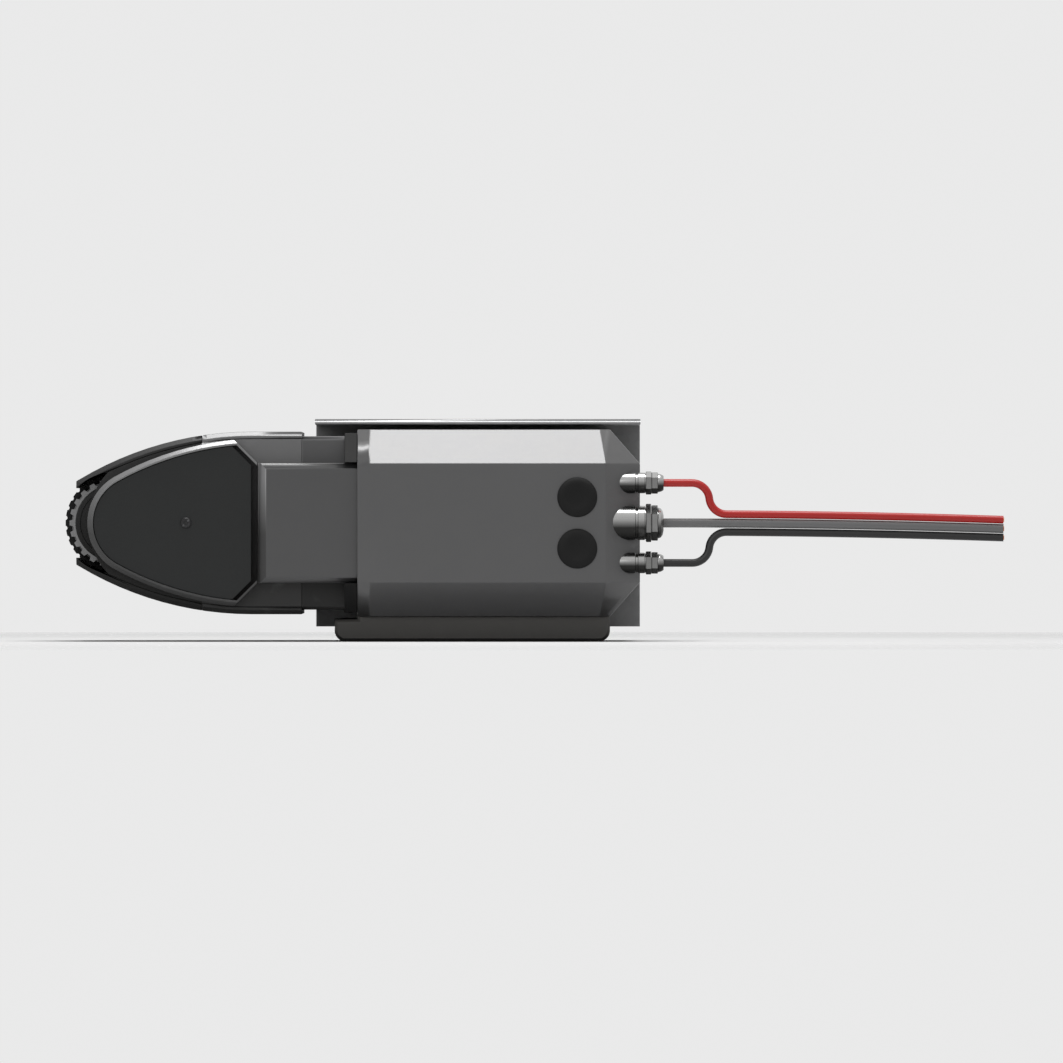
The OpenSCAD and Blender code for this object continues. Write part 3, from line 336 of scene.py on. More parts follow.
# Casing, shroud and rim carry painted shade that darkens their undersides and their lower parts.
CASING_GREY = finish("casing_grey_paint", (0.2, 0.2, 0.202), metallic=0.35, roughness=0.4, spread=0.06,
                     grain=1300.0, bump=0.09, wear_and_glint=0.5, dust_and_top_light=0.12, coat=0.2, under_shade=0.95, low_shade=1.0)
SHROUD_GREY = finish("shroud_grey", (0.15, 0.15, 0.152), metallic=0.3, roughness=0.5, gloss=0.3, under_shade=0.85,
                     low_shade=1.0)
RIM_GREY = finish("rim_grey_paint", (0.22, 0.22, 0.222), metallic=0.6, roughness=0.32, coat=0.3, under_shade=0.8,
                  low_shade=1.0)
PANEL_DARK = finish("panel_charcoal", (0.011, 0.0122, 0.0122), roughness=0.55, gloss=0.35, grain=1500.0, bump=0.2,
                    wear_and_glint=0.0)
# The tray carries painted shade on the faces that look down.
TRAY_DARK = finish("tray_paint", (0.088, 0.0845, 0.079), roughness=0.5, gloss=0.35, wear_and_glint_colour=(0.1, 0.1, 0.1),
                   under_shade=0.95)
print("paints:", len(bpy.data.materials))

# %% Rubber, plastic and leads
RUBBER = finish("black_rubber", (0.008, 0.008, 0.008), roughness=0.7, gloss=0.25, grain=700.0, bump=0.25,
                wear_and_glint_colour=(0.04, 0.04, 0.04), dust_and_top_light=0.04)
# The guards carry painted shade on their undersides and lower parts.
GUARD_BLACK = finish("guard_black", (0.016, 0.016, 0.0165), roughness=0.48, gloss=0.35, grain=1300.0, bump=0.25,
                     wear_and_glint_colour=(0.06, 0.06, 0.06), dust_and_top_light=0.05, under_shade=0.9, low_shade=1.0)
LEAD_RED = finish("lead_red", (0.5, 0.012, 0.01), roughness=0.36, grain=1800.0, bump=0.05, wear_and_glint=0.0)
LEAD_BLACK = finish("lead_black", (0.009, 0.009, 0.0095), roughness=0.38, grain=1800.0, bump=0.05, wear_and_glint=0.0)
LEAD_GREY = finish("lead_grey", (0.17, 0.17, 0.172), roughness=0.4, grain=1800.0, bump=0.05, wear_and_glint=0.0)
print("paints, rubber and plastic:", len(bpy.data.materials))

# %% Metals
ZINC_PLATE = finish("zinc_plate", (0.27, 0.272, 0.275), metallic=0.15, roughness=0.58, zinc=0.16)
ZINC_EDGE = finish("zinc_cut_edge", (0.3, 0.302, 0.305), metallic=0.6, roughness=0.4, zinc=0.14)
# The glands' nickel carries painted shade that darkens all but its top.
NICKEL = finish("nickel", (0.46, 0.46, 0.455), metallic=1.0, roughness=0.22, wear_and_glint=0.0, under_shade=0.95, edge=0.42)
ALLOY = finish("bare_alloy", (0.45, 0.453, 0.456), metallic=0.9, roughness=0.34, streak=0.2, wear_and_glint=0.2)
CORE_ALLOY = finish("weathered_alloy", (0.2, 0.2, 0.2), metallic=0.8, roughness=0.45, spread=0.1, wear_and_glint=0.2)
STEEL = finish("zinc_steel", (0.36, 0.36, 0.357), metallic=0.95, roughness=0.34, spread=0.08, wear_and_glint=0.2)
DARK_STEEL = finish("black_oxide", (0.03, 0.03, 0.031), metallic=0.7, roughness=0.4)
BRONZE = finish("bronze", (0.5, 0.3, 0.11), metallic=1.0, roughness=0.32, wear_and_glint=0.0)
COPPER = finish("copper", (0.72, 0.32, 0.18), metallic=1.0, roughness=0.32, wear_and_glint=0.0, dust_and_top_light=0.0)
print("finishes:", len(bpy.data.materials))

# %% [markdown]
# ## Flying leads
# Three leads leave the glands: red above, grey in the middle and black below. The outer two swing in beside the middle
# one, and all three run on, droop a little and are cut square. A mesh tube could be swept along each route. A curve
# with a round bevel is used, because it keeps the route's points and so the lead's true length. The bare copper at a
# cut end is a bunch of short cones.

# %% Lead routes
GLAND_Y = -213.5 * MM
GLAND_Z = 28 * MM
GLAND_END = 130.5 * MM
LEAD_START = 104.5 * MM
LEAD_END = 368.5 * MM
BUNDLE_Z = 6.25 * MM
BEND_START = 150.5 * MM
BEND_R = 12.1 * MM
BEFORE_BEND = 8 * MM
DROOP = 4 * MM
BEND_STEPS = 12
RUN_STEPS = 8
STRAIGHT_STEPS = 14


def droop(x):
    return -DROOP * (max(0.0, x - GLAND_END) / (LEAD_END - GLAND_END)) ** 2


def swing_route(side):
    swing = math.acos(1 - (GLAND_Z - BUNDLE_Z) / (2 * BEND_R))
    bend_end = BEND_START + 2 * BEND_R * math.sin(swing)
    route = [(LEAD_START, GLAND_Z), (GLAND_END, GLAND_Z), (BEND_START - BEFORE_BEND, GLAND_Z)]
    for k in range(BEND_STEPS + 1):
        a = swing * k / BEND_STEPS
        route.append((BEND_START + BEND_R * math.sin(a), GLAND_Z - BEND_R * (1 - math.cos(a))))
    for k in range(BEND_STEPS - 1, -1, -1):
        a = swing * k / BEND_STEPS
        route.append((bend_end - BEND_R * math.sin(a), BUNDLE_Z + BEND_R * (1 - math.cos(a))))
    route += [(bend_end + (LEAD_END - bend_end) * k / RUN_STEPS, BUNDLE_Z) for k in range(1, RUN_STEPS + 1)]
    return [Vector((x, GLAND_Y, side * z + droop(x))) for x, z in route]


def straight_route():
    run = [GLAND_END + (LEAD_END - GLAND_END) * k / STRAIGHT_STEPS for k in range(STRAIGHT_STEPS + 1)]
    return [Vector((x, GLAND_Y, droop(x))) for x in [LEAD_START] + run]


print("routes of", len(swing_route(1)), "and", len(straight_route()), "points")

# %% Piece helper
def new_piece(bm, name, materials, body, node=None):
    mesh = bpy.data.meshes.new(name)
    bm.to_mesh(mesh)
    bm.free()
    for material in materials:
        mesh.materials.append(material)
    piece = bpy.data.objects.new(name, mesh)
    bpy.context.scene.collection.objects.link(piece)
    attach(piece, body)
    if node:
        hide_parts(node)
    return piece


print("helper for pieces")

# %% Cut ends: copper strands in two rings round a middle one
STRAND_R = 0.42 * MM
STRAND_OUT = 0.5 * MM
STRAND_TAPER = 0.8
STRAND_SIDES = 10
INNER_STRANDS, INNER_RING = 6, 0.36
OUTER_STRANDS, OUTER_RING = 12, 0.7
ALONG_X = Matrix.Rotation(math.pi / 2, 4, "Y")


def strand_end(name, at, reach):
    spread = [(0, 0)]
    spread += [(INNER_RING * reach, math.tau * k / INNER_STRANDS) for k in range(INNER_STRANDS)]
    spread += [(OUTER_RING * reach, math.tau * (k + 0.5) / OUTER_STRANDS) for k in range(OUTER_STRANDS)]
    bm = bmesh.new()
    for out, turn in spread:
        spot = Matrix.Translation(at + Vector((0, out * math.cos(turn), out * math.sin(turn))))
        bmesh.ops.create_cone(bm, cap_ends=True, segments=STRAND_SIDES, radius1=STRAND_R,
                              radius2=STRAND_R * STRAND_TAPER, depth=STRAND_OUT * 2, matrix=spot @ ALONG_X)
    return new_piece(bm, name, [COPPER], "base")


print("strands at each cut end:", 1 + INNER_STRANDS + OUTER_STRANDS)

# %% Leads
LEAD_D = 5.5 * MM
CONTROL_D = 6.4 * MM
CORE_SHARE = 0.34
ROUND_STEPS = 6


def flying_lead(node, route, diameter, sheath):
    curve = bpy.data.curves.new(node + "_sheath", "CURVE")
    curve.dimensions = "3D"
    curve.bevel_depth = diameter / 2
    curve.bevel_resolution = ROUND_STEPS
    curve.use_fill_caps = True
    spline = curve.splines.new("POLY")
    spline.points.add(len(route) - 1)
    for point, spot in zip(spline.points, route):
        point.co = (*spot, 1)
    spline.use_smooth = True
    curve.materials.append(sheath)
    piece = bpy.data.objects.new(node + "_sheath", curve)
    bpy.context.scene.collection.objects.link(piece)
    core = strand_end(node + "_strands", route[-1], diameter * CORE_SHARE)
    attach(piece, "base")
    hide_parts(node)


flying_lead("positive_lead", swing_route(1), LEAD_D, LEAD_RED)
flying_lead("negative_lead", swing_route(-1), LEAD_D, LEAD_BLACK)
flying_lead("control_cable", straight_route(), CONTROL_D, LEAD_GREY)

# %% [markdown]
# ## Soft edges
# Bent sheet and castings have small rounded edges that catch the light. Each part could be modelled again from
# nothing, but its CAD solid already has the right shape. So a copy of the solid is merged, its flat faces are joined
# up, and only its long sharp edges get a bevel. Edges that a part names get a flat chamfer first, and short edges
# round holes stay sharp, where a bevel would only fold over itself.

# %% Solids to work on
SHARP = math.radians(28)
FLAT = math.radians(0.6)
WELD = 0.002 * MM
TOUCH = 0.001 * MM


def solid_copy(node, joined=True):
    bm = bmesh.new()
    bm.from_mesh(frame["nodes"][node].data)
    bmesh.ops.remove_doubles(bm, verts=bm.verts, dist=WELD)
    if joined:
        bmesh.ops.dissolve_limit(bm, angle_limit=FLAT, verts=bm.verts, edges=bm.edges)
    return bm


def is_sharp(e, limit=SHARP):
    return len(e.link_faces) == 2 and e.calc_face_angle(0) > limit


def middle(e):
    return (e.verts[0].co + e.verts[1].co) / 2


def split(bm, faces, at, across):
    edges = list(dict.fromkeys(e for f in faces for e in f.edges))
    verts = list(dict.fromkeys(v for f in faces for v in f.verts))
    bmesh.ops.bisect_plane(bm, geom=verts + edges + faces, dist=TOUCH, plane_co=at, plane_no=across)


print("helpers for copies of solids")

# %% Dressing helper
EVEN_WEIGHT = 100


def mark_edges(bm, sharp, shortest):
    weight = bm.edges.layers.float.new("bevel_weight_edge")
    for e in bm.edges:
        if is_sharp(e, sharp):
            if e.calc_length() > shortest * MM:
                e[weight] = 1.0
            else:
                e.smooth = False


def soften(piece, width, segments):
    soft = piece.modifiers.new("soft_edges", "BEVEL")
    soft.limit_method = "WEIGHT"
    soft.width = width * MM
    soft.segments = segments
    soft.profile = 0.5
    soft.use_clamp_overlap = False
    even = piece.modifiers.new("even_shading", "WEIGHTED_NORMAL")
    even.mode = "FACE_AREA"
    even.weight = EVEN_WEIGHT
    even.keep_sharp = True


def dress(node, material, edge=0.8, shortest=6.0, segments=3, sharp=SHARP, joined=True, cuts=None, cut=2.0,
          second=None, inside=None, split_x=None, cells=()):
    bm = solid_copy(node, joined)
    if split_x:
        split(bm, bm.faces[:], (split_x, 0, 0), (1, 0, 0))
    if cuts:
        picked = [e for e in bm.edges if is_sharp(e) and cuts(e)]
        bmesh.ops.bevel(bm, geom=picked, offset=cut * MM, offset_type="OFFSET", affect="EDGES", segments=1,
                        profile=0.5, material=-1, clamp_overlap=True)
    mark_edges(bm, sharp, shortest)
    for least_x, at, across in cells:
        split(bm, [f for f in bm.faces if min(v.co.x for v in f.verts) > least_x], at, across)
    for f in bm.faces:
        f.smooth = True
        if inside and inside(f):
            f.material_index = 1
    piece = new_piece(bm, node + "_dressed", [m for m in (material, second) if m], BODY_OF[node], node)
    soften(piece, edge, segments)
    print(node, "dressed")


print("dressing helper ready")

# %% [markdown]
# ## Housing, plate and tray
# The housing is a grey casting with broad slopes, bolted to a bent zinc plate whose top flange shows as a bright line.
# A dark tray closes it below. All three come from their solids. The flange's lip gets a chamfer of bare zinc, and the
# tray's lower edge a broad one. The housing's lead end is split into cells round the gland holes, because the pale
# edges of wear and painted glint are read at the mesh's points: without the cells they would smear from the holes
# over the whole face.

# %% Housing
FACET_SHARP = math.radians(9)
LEAD_SIDE = 85 * MM
CELL_Z = (-38, -16.5, 16.5, 38)
CELL_Y = -200.5
GLAND_CELLS = [(LEAD_SIDE, (0, 0, z * MM), (0, 0, 1)) for z in CELL_Z]
GLAND_CELLS.append((LEAD_SIDE, (0, CELL_Y * MM, 0), (0, 1, 0)))

dress("motor_housing", CAST_GREY, edge=0.7, shortest=12, sharp=FACET_SHARP, cells=GLAND_CELLS)

# %% Plate, tray and seal
FLANGE_LIP = -90 * MM
FLANGE_FRONT = -86 * MM
FLANGE_LOW = 73 * MM
TRAY_LOW, TRAY_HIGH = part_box("belly_cover")
NEAR = 0.5 * MM
AT_SIDE = 0.2 * MM
LOOKS_PARTLY = 0.3


def flange_lip(e):
    at = middle(e)
    return abs(at.y - FLANGE_LIP) < NEAR and at.z > FLANGE_LOW


def flange_edge(f):
    return f.normal.y < -LOOKS_PARTLY and f.calc_center_median().y < FLANGE_FRONT


def tray_edge(e):
    at = middle(e)
    return at.z < TRAY_HIGH.z - NEAR and min(at.y - TRAY_LOW.y, TRAY_HIGH.y - at.y) < AT_SIDE


dress("mounting_plate", ZINC_PLATE, edge=0.5, shortest=20, cuts=flange_lip, cut=2.2, second=ZINC_EDGE,
      inside=flange_edge)
dress("belly_cover", TRAY_DARK, edge=0.9, shortest=10, cuts=tray_edge, cut=4.5)
dress("mouth_seal", RUBBER, edge=0.7, shortest=4)

# %% [markdown]
# ## Head
# The head has a light grey rim round a dark inset panel, a painted casing at its shoulder and black guards over the
# roller. A second material on chosen faces could be painted with a mask. Here the faces are picked by where they lie
# and look, which stays crisp: the rim's groove and the plate's end under the guards are black as painted shade, and
# the neck's bevel is rim grey as a painted highlight. The rim and the skins also get a chamfer on their front edges,
# which draws the bright outline.

# %% Which edges and faces of the head
FRAME_FRONT = -219 * MM
SKIN_FRONT = -206.8 * MM
GROOVE_DEPTH = 2 * MM
AT_FRONT = 0.1 * MM
LOOKS_MAINLY = 0.5
LOOKS_SQUARE = 0.9
GUARD_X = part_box("upper_guard")[1][0]
HEAD_MIDDLE = Vector((-204 * MM, 0, 0))


def outer_front(e):
    sides = [f.normal for f in e.link_faces if abs(f.normal.y) < LOOKS_MAINLY]
    at = middle(e)
    if not sides or sides[0].x > LOOKS_MAINLY or at.y > FRAME_FRONT + AT_FRONT:
        return False
    return (Vector((at.x, 0, at.z)) - HEAD_MIDDLE).dot(sides[0]) > 0


def skin_lip(e):
    at = middle(e)
    tall = [f for f in e.link_faces if abs(f.normal.y) < LOOKS_MAINLY and f.normal.z * at.z > 0]
    return bool(tall) and at.y < SKIN_FRONT


# Painted shade: the groove's floor gets the black of the guards.
def shaded_groove_floor(f):
    return f.normal.y < -LOOKS_SQUARE and f.calc_center_median().y > FRAME_FRONT + GROOVE_DEPTH


# Painted shade: the plate's end under the guards gets their black.
def shaded_under_guard(f):
    return f.calc_center_median().x < GUARD_X


# Painted highlight: the neck's bevel gets the lighter rim grey.
def highlit_neck_bevel(f):
    return f.normal.x < -LOOKS_MAINLY and f.normal.y < -LOOKS_PARTLY


print("guards end at", round(GUARD_X / MM, 1), "mm")

# %% Head
# The groove's floor is black as painted shade.
dress("side_frame", RIM_GREY, edge=0.25, shortest=0.2, segments=2, cuts=outer_front, cut=2.6, second=GUARD_BLACK,
      inside=shaded_groove_floor)
dress("side_panel", PANEL_DARK, edge=0.5, shortest=0.2, joined=False)
# The neck's bevel is rim grey as a painted highlight.
dress("neck_cover", SHADED_NECK_GREY, edge=0.6, shortest=10, second=RIM_GREY, inside=highlit_neck_bevel)
# The plate's end under the guards is black as painted shade.
dress("near_plate", CASING_GREY, edge=0.5, shortest=8, second=GUARD_BLACK, inside=shaded_under_guard, split_x=GUARD_X)
for side in ("upper", "lower"):
    dress(side + "_casing", CASING_GREY, edge=0.4, cuts=skin_lip, cut=3.0)
    dress(side + "_guard", GUARD_BLACK, edge=0.4, shortest=5, cuts=skin_lip, cut=3.2)
dress("slide_shroud", SHROUD_GREY, edge=0.8)
dress("gear_cover", CAST_GREY, edge=1.2, shortest=8)
dress("gear_plate", DARK_STEEL, edge=0.5, shortest=8)

# %% [markdown]
# ## Turned parts
# Glands, plugs and screws are round on the real unit, most of them turned on a lathe. A cylinder with bevels could
# stand for each. A profile of radius and height, spun about its axis, gives every groove and shoulder at once, and a
# hexagon is the same ring with its points drawn in to the flats.

# %% Lathe
HEX_SIDE = 60


def hexagon(v):
    turn = math.degrees(math.atan2(v.co.y, v.co.x)) % HEX_SIDE - HEX_SIDE / 2
    pull = math.cos(math.radians(HEX_SIDE / 2)) / math.cos(math.radians(turn))
    v.co.x *= pull
    v.co.y *= pull


def join_into(bm, part):
    mesh = bpy.data.meshes.new("part")
    part.to_mesh(mesh)
    part.free()
    bm.from_mesh(mesh)
    bpy.data.meshes.remove(mesh)


def lathe(bm, profile, at, axis, steps, closed=False, hexed=None):
    turned = bmesh.new()
    ring = [turned.verts.new((r * MM, 0, h * MM)) for r, h in profile]
    line = [turned.edges.new(pair) for pair in zip(ring, ring[1:])]
    if closed:
        line.append(turned.edges.new((ring[-1], ring[0])))
    bmesh.ops.spin(turned, geom=ring + line, cent=(0, 0, 0), axis=(0, 0, 1), dvec=(0, 0, 0), angle=math.tau,
                   steps=steps, use_merge=True, use_duplicate=False)
    bmesh.ops.remove_doubles(turned, verts=turned.verts, dist=TOUCH)
    if hexed:
        low, high, inner, outer = (value * MM for value in hexed)
        for v in turned.verts:
            if low <= v.co.z <= high and inner <= v.co.xy.length <= outer:
                hexagon(v)
    bmesh.ops.recalc_face_normals(turned, faces=turned.faces)
    for f in turned.faces:
        f.smooth = True
    for e in turned.edges:
        if is_sharp(e):
            e.smooth = False
    turned.transform(Matrix.Translation(at) @ Vector((0, 0, 1)).rotation_difference(axis).to_matrix().to_4x4())
    join_into(bm, turned)


print("lathe ready")

# %% Where each solid of a node lies
def solids(node):
    bm = solid_copy(node)
    seen = set()
    boxes = []
    for first in bm.verts:
        if first in seen:
            continue
        group, rim = set(), {first}
        while rim:
            group |= rim
            rim = {e.other_vert(v) for v in rim for e in v.link_edges} - group
        seen |= group
        boxes.append([Vector(pick(v.co[k] for v in group) for k in range(3)) for pick in (min, max)])
    bm.free()
    return boxes


print("lead glands:", len(solids("lead_gland_bodies")))

# %% [markdown]
# ## Glands
# A nickel gland holds each lead: a round body in the housing's slope, a groove, a hexagon for the spanner and a domed
# nut. The CAD solid could be bevelled, but a spun profile shows the groove and the dome as well. Each profile runs
# from the inner end outwards, as radius and height in millimetres, and the flats give the band that is drawn in to a
# hexagon: lowest and highest height, smallest and largest radius.

# %% Glands
LEAD_BODY = [(3.75, 0), (7, 0), (7.25, 0.5), (7.25, 22.6), (6.55, 23), (6.55, 24.4), (7.25, 24.8), (7.25, 29.2),
             (6.8, 29.6), (6.8, 30), (7.7, 30), (8.1, 30.5), (8.1, 33.5), (7.7, 34), (3.75, 34)]
LEAD_NUT = [(3.05, 0), (7.05, 0), (7.5, 0.5), (7.5, 4.2), (7.05, 4.5), (6.35, 4.6), (6.45, 5), (6.1, 6.6),
            (5.5, 7.8), (4.9, 8.5), (3.05, 8.5)]
CONTROL_BODY = [(4.2, 0), (11.6, 0), (12, 0.5), (12, 22.6), (11, 23), (11, 24.4), (12, 24.8), (12, 29.2),
                (11.4, 29.6), (11.4, 30), (12.7, 30), (13.4, 30.5), (13.4, 33.5), (12.7, 34), (4.2, 34)]
CONTROL_NUT = [(3.5, 0), (11.8, 0), (12.4, 0.5), (12.4, 4.2), (11.8, 4.5), (10.6, 4.6), (10.8, 5), (10.2, 6.6),
               (8.4, 7.8), (5.4, 8.5), (3.5, 8.5)]
GLANDS = (
    ("lead_gland_bodies", LEAD_BODY, (29.9, 34.1, 7.5, 8.6)),
    ("lead_gland_nuts", LEAD_NUT, (-0.1, 4.55, 6.8, 7.7)),
    ("control_gland_body", CONTROL_BODY, (29.9, 34.1, 12.5, 14)),
    ("control_gland_nut", CONTROL_NUT, (-0.1, 4.55, 11.7, 13)),
)
AXIS_X = Vector((1, 0, 0))
GLAND_STEPS = 48

for node, profile, flats in GLANDS:
    bm = bmesh.new()
    for low, high in solids(node):
        centre = (low + high) / 2
        lathe(bm, profile, Vector((low.x, centre.y, centre.z)), AXIS_X, steps=GLAND_STEPS, closed=True, hexed=flats)
    new_piece(bm, node + "_turned", [NICKEL], BODY_OF[node], node)
    print(node, "turned")

# %% [markdown]
# ## Plugs and the roller's end
# Two black rubber plugs sit in the front face, each a soft dome with a shallow dish. The roller's near end is closed by
# a thin black cap with a groove. Both could be flattened spheres or discs, but the dish and the groove need a profile,
# so they are spun as the glands are. The cap turns with the roller.

# %% Service plugs
PLUG = [(0, 2.3), (4.5, 2.35), (6.2, 2.7), (8, 3.05), (9.6, 3.2), (11.4, 2.95), (12.8, 2.4), (13.7, 1.5), (14, 0.5),
        (13.9, 0), (9.9, 0), (9.9, -6), (0, -6)]
OUTWARD = Vector((0, -1, 0))
HOUSING_FRONT = -230.5 * MM
PLUG_STEPS = 64

bm = bmesh.new()
for low, high in solids("service_plugs"):
    centre = (low + high) / 2
    lathe(bm, PLUG, Vector((centre.x, HOUSING_FRONT, centre.z)), OUTWARD, steps=PLUG_STEPS)
new_piece(bm, "service_plugs_turned", [RUBBER], "base", "service_plugs")
print("plugs turned")

# %% Roller's end cap
CAP = [(9, 0.1), (26.8, 0.1), (26.8, 0.6), (26.2, 1), (23.6, 1), (23, 0.5), (20.6, 0.5), (20, 1), (9, 1)]
ROLLER_X = -255 * MM
CORE_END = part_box("roller_core")[0][1]
CAP_STEPS = 72

bm = bmesh.new()
lathe(bm, CAP, Vector((ROLLER_X, CORE_END, 0)), OUTWARD, steps=CAP_STEPS, closed=True)
new_piece(bm, "roller_end_cap", [GUARD_BLACK], "roller")
print("roller core ends at", round(CORE_END / MM, 1), "mm")

# %% [markdown]
# ## Webs behind the roller
# Between the far side plate and the guards' tips a sliver of daylight would show past the roller, and the real unit
# shows none. The guards could be made longer, but they have to clear the roller. So a thin curved web lies on the
# plate under each tip: a small rectangle, spun part of the way round the roller's axis.

# %% Webs that close the guards' tips
WEB_R = (30, 35.9)
WEB_T = 1.6
WEB_START = math.radians(92)
WEB_SWEEP = math.radians(43)
WEB_STEPS = 16
WEB_CORNERS = ((WEB_R[0], 0), (WEB_R[1], 0), (WEB_R[1], WEB_T), (WEB_R[0], WEB_T))
PLATE_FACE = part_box("gear_plate")[0][1]

bm = bmesh.new()
for side in (1, -1):
    web = bmesh.new()
    ring = []
    for r, deep in WEB_CORNERS:
        out, up = r * MM * math.cos(WEB_START), r * MM * math.sin(WEB_START)
        ring.append(web.verts.new((ROLLER_X + out, PLATE_FACE - deep * MM, side * up)))
    line = [web.edges.new(pair) for pair in zip(ring, ring[1:] + ring[:1])]
    bmesh.ops.spin(web, geom=ring + line, cent=(ROLLER_X, 0, 0), axis=(0, -1, 0), dvec=(0, 0, 0),
                   angle=side * WEB_SWEEP, steps=WEB_STEPS, use_merge=False, use_duplicate=False)
    bmesh.ops.holes_fill(web, edges=web.edges, sides=len(WEB_CORNERS))
    bmesh.ops.recalc_face_normals(web, faces=web.faces)
    print("web faces:", len(web.faces))
    join_into(bm, web)
tip_webs = new_piece(bm, "guard_tip_webs", [GUARD_BLACK], BODY_OF["gear_plate"])

# %% [markdown]
# ## Screws
# Screws with a hexagon socket hold the plate, the tray, the gear cover and the panel. The CAD solids have plain heads.
# A socket could be cut with a boolean, but the spun profile can dip into the head by itself, and the dip is then drawn
# in to a hexagon.

# %% Screw profile
SOCKET_DEPTH = 0.6
SOCKET_R = 0.45
SOCKET_LIP_R = 0.48
SOCKET_LIP = 0.15
HEAD_ROUND = 0.6
FLUSH_ROUND = 0.2
SHANK_R = 2.5


def socket_screw(head_r, head_h, length, flush):
    floor, wall = -head_h * SOCKET_DEPTH, head_r * SOCKET_R
    profile = [(0, floor), (wall, floor), (wall, -SOCKET_LIP), (head_r * SOCKET_LIP_R, 0)]
    if flush:
        profile += [(head_r - FLUSH_ROUND, 0), (head_r, -SOCKET_LIP)]
    else:
        profile += [(head_r - HEAD_ROUND, 0), (head_r, -HEAD_ROUND), (head_r, -head_h)]
    return profile + [(SHANK_R, -head_h), (SHANK_R, -length), (0, -length)]


print("sockets are", SOCKET_R, "of the head wide")

# %% Screws: node, axis, side of the head, head radius and height, flush or not, finish
SCREWS = (
    ("plate_screws", 1, 1, 4.6, 2.4, True, STEEL),
    ("belly_screws", 2, -1, 4.6, 3.5, False, STEEL),
    ("gear_cover_screws", 1, 1, 4.6, 2.0, False, STEEL),
    ("panel_screw", 1, -1, 3.8, 1.6, False, DARK_STEEL),
)
SOCKET_LOW, SOCKET_HIGH = -9, -0.1
SOCKET_IN, SOCKET_OUT = 0.1, 0.46
SCREW_STEPS = 36

for node, along, sign, head_r, head_h, flush, material in SCREWS:
    axis = Vector([sign if k == along else 0 for k in range(3)])
    flats = (SOCKET_LOW, SOCKET_HIGH, SOCKET_IN, head_r * SOCKET_OUT)
    bm = bmesh.new()
    for low, high in solids(node):
        top = (low + high) / 2
        top[along] = high[along] if sign > 0 else low[along]
        length = (high[along] - low[along]) / MM
        lathe(bm, socket_screw(head_r, head_h, length, flush), top, axis, steps=SCREW_STEPS, hexed=flats)
    new_piece(bm, node + "_turned", [material], BODY_OF[node], node)
    print(node, "turned")

# %% [markdown]
# ## Solids that stay as they are
# Gears, shafts, bearings, motors and brackets lie inside, and little of them shows. They could all be dressed too, but
# their CAD shapes are right at the size they are seen. So they stay in the scene and only get the finish of the real
# part: bare steel, alloy, bronze or black plastic.

# %% Finishes of the solids that stay
PLAIN = {
    "weld_nuts": STEEL, "guide_block": ALLOY, "guide_bushes": BRONZE, "actuator_bracket": STEEL,
    "spindle_bearing": STEEL, "actuator_gearbox": GUARD_BLACK, "actuator_motor": STEEL, "terminal_block": GUARD_BLACK,
    "lead_gland_seals": RUBBER, "control_gland_seal": RUBBER, "rear_plate": ALLOY, "tie_bars": STEEL,
    "tie_bar_screws": DARK_STEEL, "neck_screws": DARK_STEEL, "guide_rods": NICKEL, "rod_nuts": STEEL,
    "nut_bracket": ALLOY, "spindle_nut": BRONZE, "planetary_gearbox": ALLOY, "drive_motor": DARK_STEEL,
    "motor_end_cap": GUARD_BLACK, "roller_bearings": STEEL, "idler_axle": STEEL, "roller_core": CORE_ALLOY,
    "roller_sleeve": RUBBER, "roller_axle": STEEL, "roller_gear": STEEL, "idler_gear": STEEL, "idler_bush": BRONZE,
    "motor_pinion": STEEL, "feed_spindle": NICKEL,
}
for node, material in PLAIN.items():
    mesh = frame["nodes"][node].data
    mesh.materials.clear()
    mesh.materials.append(material)
print("plain solids:", len(PLAIN))

# %% [markdown]
# ## Floor
# The unit stands on a plain pale floor that takes its shadow. A large plane could reach the horizon, but its edge would
# show as a line from some sides. A round floor whose alpha fades towards its rim melts into the surround from any side.

# %% Floor
FLOOR_CENTRE = (0.03, -0.11, -83.2 * MM)
FLOOR_R = 1.3
FLOOR_SOLID_R = 0.42
FLOOR_FADED = 0.98
FLOOR_SIDES = 96
FLOOR_COLOUR = (0.87, 0.87, 0.87, 1)
FLOOR_ROUGHNESS = 0.9
FLOOR_GLOSS = 0.1

bm = bmesh.new()
bmesh.ops.create_circle(bm, cap_ends=True, segments=FLOOR_SIDES, radius=FLOOR_R,
                        matrix=Matrix.Translation(FLOOR_CENTRE))
floor_mesh = bpy.data.meshes.new("floor")
bm.to_mesh(floor_mesh)
bm.free()
floor = bpy.data.objects.new("floor", floor_mesh)
bpy.context.scene.collection.objects.link(floor)
print("floor", 2 * FLOOR_R, "m across")

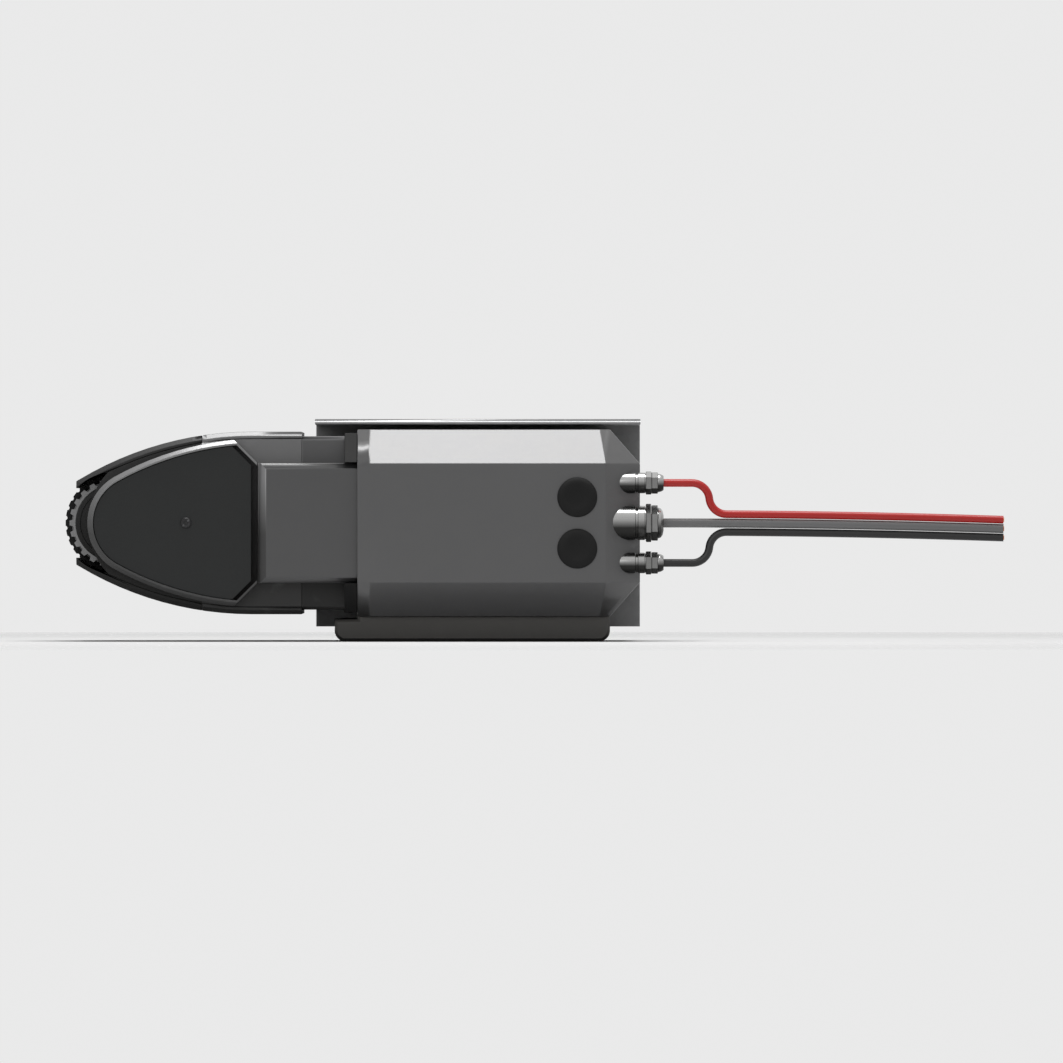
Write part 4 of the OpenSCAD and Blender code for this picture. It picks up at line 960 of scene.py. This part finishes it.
# %% Floor's finish
pale = bpy.data.materials.new("pale_floor")
pale.use_nodes = True
tree = pale.node_tree
matte = tree.nodes["Principled BSDF"].inputs
matte["Base Color"].default_value = FLOOR_COLOUR
matte["Roughness"].default_value = FLOOR_ROUGHNESS
matte["Specular IOR Level"].default_value = FLOOR_GLOSS
away = tree.nodes.new("ShaderNodeVectorMath")
away.operation = "LENGTH"
tree.links.new(coords(tree), away.inputs[0])
tree.links.new(ramp_node(tree, away.outputs["Value"], FLOOR_R * FLOOR_FADED, FLOOR_SOLID_R), matte["Alpha"])
floor_mesh.materials.append(pale)
print("floor fades from", FLOOR_SOLID_R, "m")

# %% [markdown]
# ## Surround and lamps
# A pale surround lights the unit evenly and shows in its bright metal. It could simply be bright, but then it would
# drown the lamps. So it is at full strength only for what the camera sees, straight or in a reflection, and weaker as
# a light. One lamp overhead picks out the slopes, and a weak one in front fills the near side.

# %% Surround
AMBIENT = 0.3
PALE = (0.82, 0.82, 0.82, 1)

world = bpy.data.worlds.new("surround")
world.use_nodes = True
tree = world.node_tree
sky = tree.nodes["Background"].inputs
sky["Color"].default_value = PALE
ray = tree.nodes.new("ShaderNodeLightPath").outputs
seen = math_node(tree, "MAXIMUM", ray["Is Camera Ray"], ray["Is Glossy Ray"])
seen = math_node(tree, "MAXIMUM", seen, ray["Is Transmission Ray"])
level = tree.nodes.new("ShaderNodeMapRange")
level.inputs["To Min"].default_value = AMBIENT
tree.links.new(seen, level.inputs["Value"])
tree.links.new(level.outputs["Result"], sky["Strength"])
bpy.context.scene.world = world
bpy.context.scene.view_settings.view_transform = "Standard"
print("surround lights at", AMBIENT)

# %% Lamps: name, place, size and power
LAMP_AIM = Vector((0.0, -0.12, 0.0))
LAMPS = (
    ("top_lamp", Vector((0.0, -0.2, 1.7)), (1.2, 0.6), 25),
    ("front_lamp", Vector((-1.0, -2.4, 0.9)), (1.6, 1.2), 7),
)
for name, at, size, power in LAMPS:
    lamp_data = bpy.data.lights.new(name, "AREA")
    lamp_data.shape = "RECTANGLE"
    lamp_data.size, lamp_data.size_y = size
    lamp_data.energy = power
    lamp = bpy.data.objects.new(name, lamp_data)
    lamp.location = at
    lamp.rotation_euler = (LAMP_AIM - at).to_track_quat("-Z", "Y").to_euler()
    bpy.context.scene.collection.objects.link(lamp)
    print(name, power, "W")

# %% [markdown]
# ## Sizes
# The dressed unit has to stay as large as the CAD part.


print("scene built")
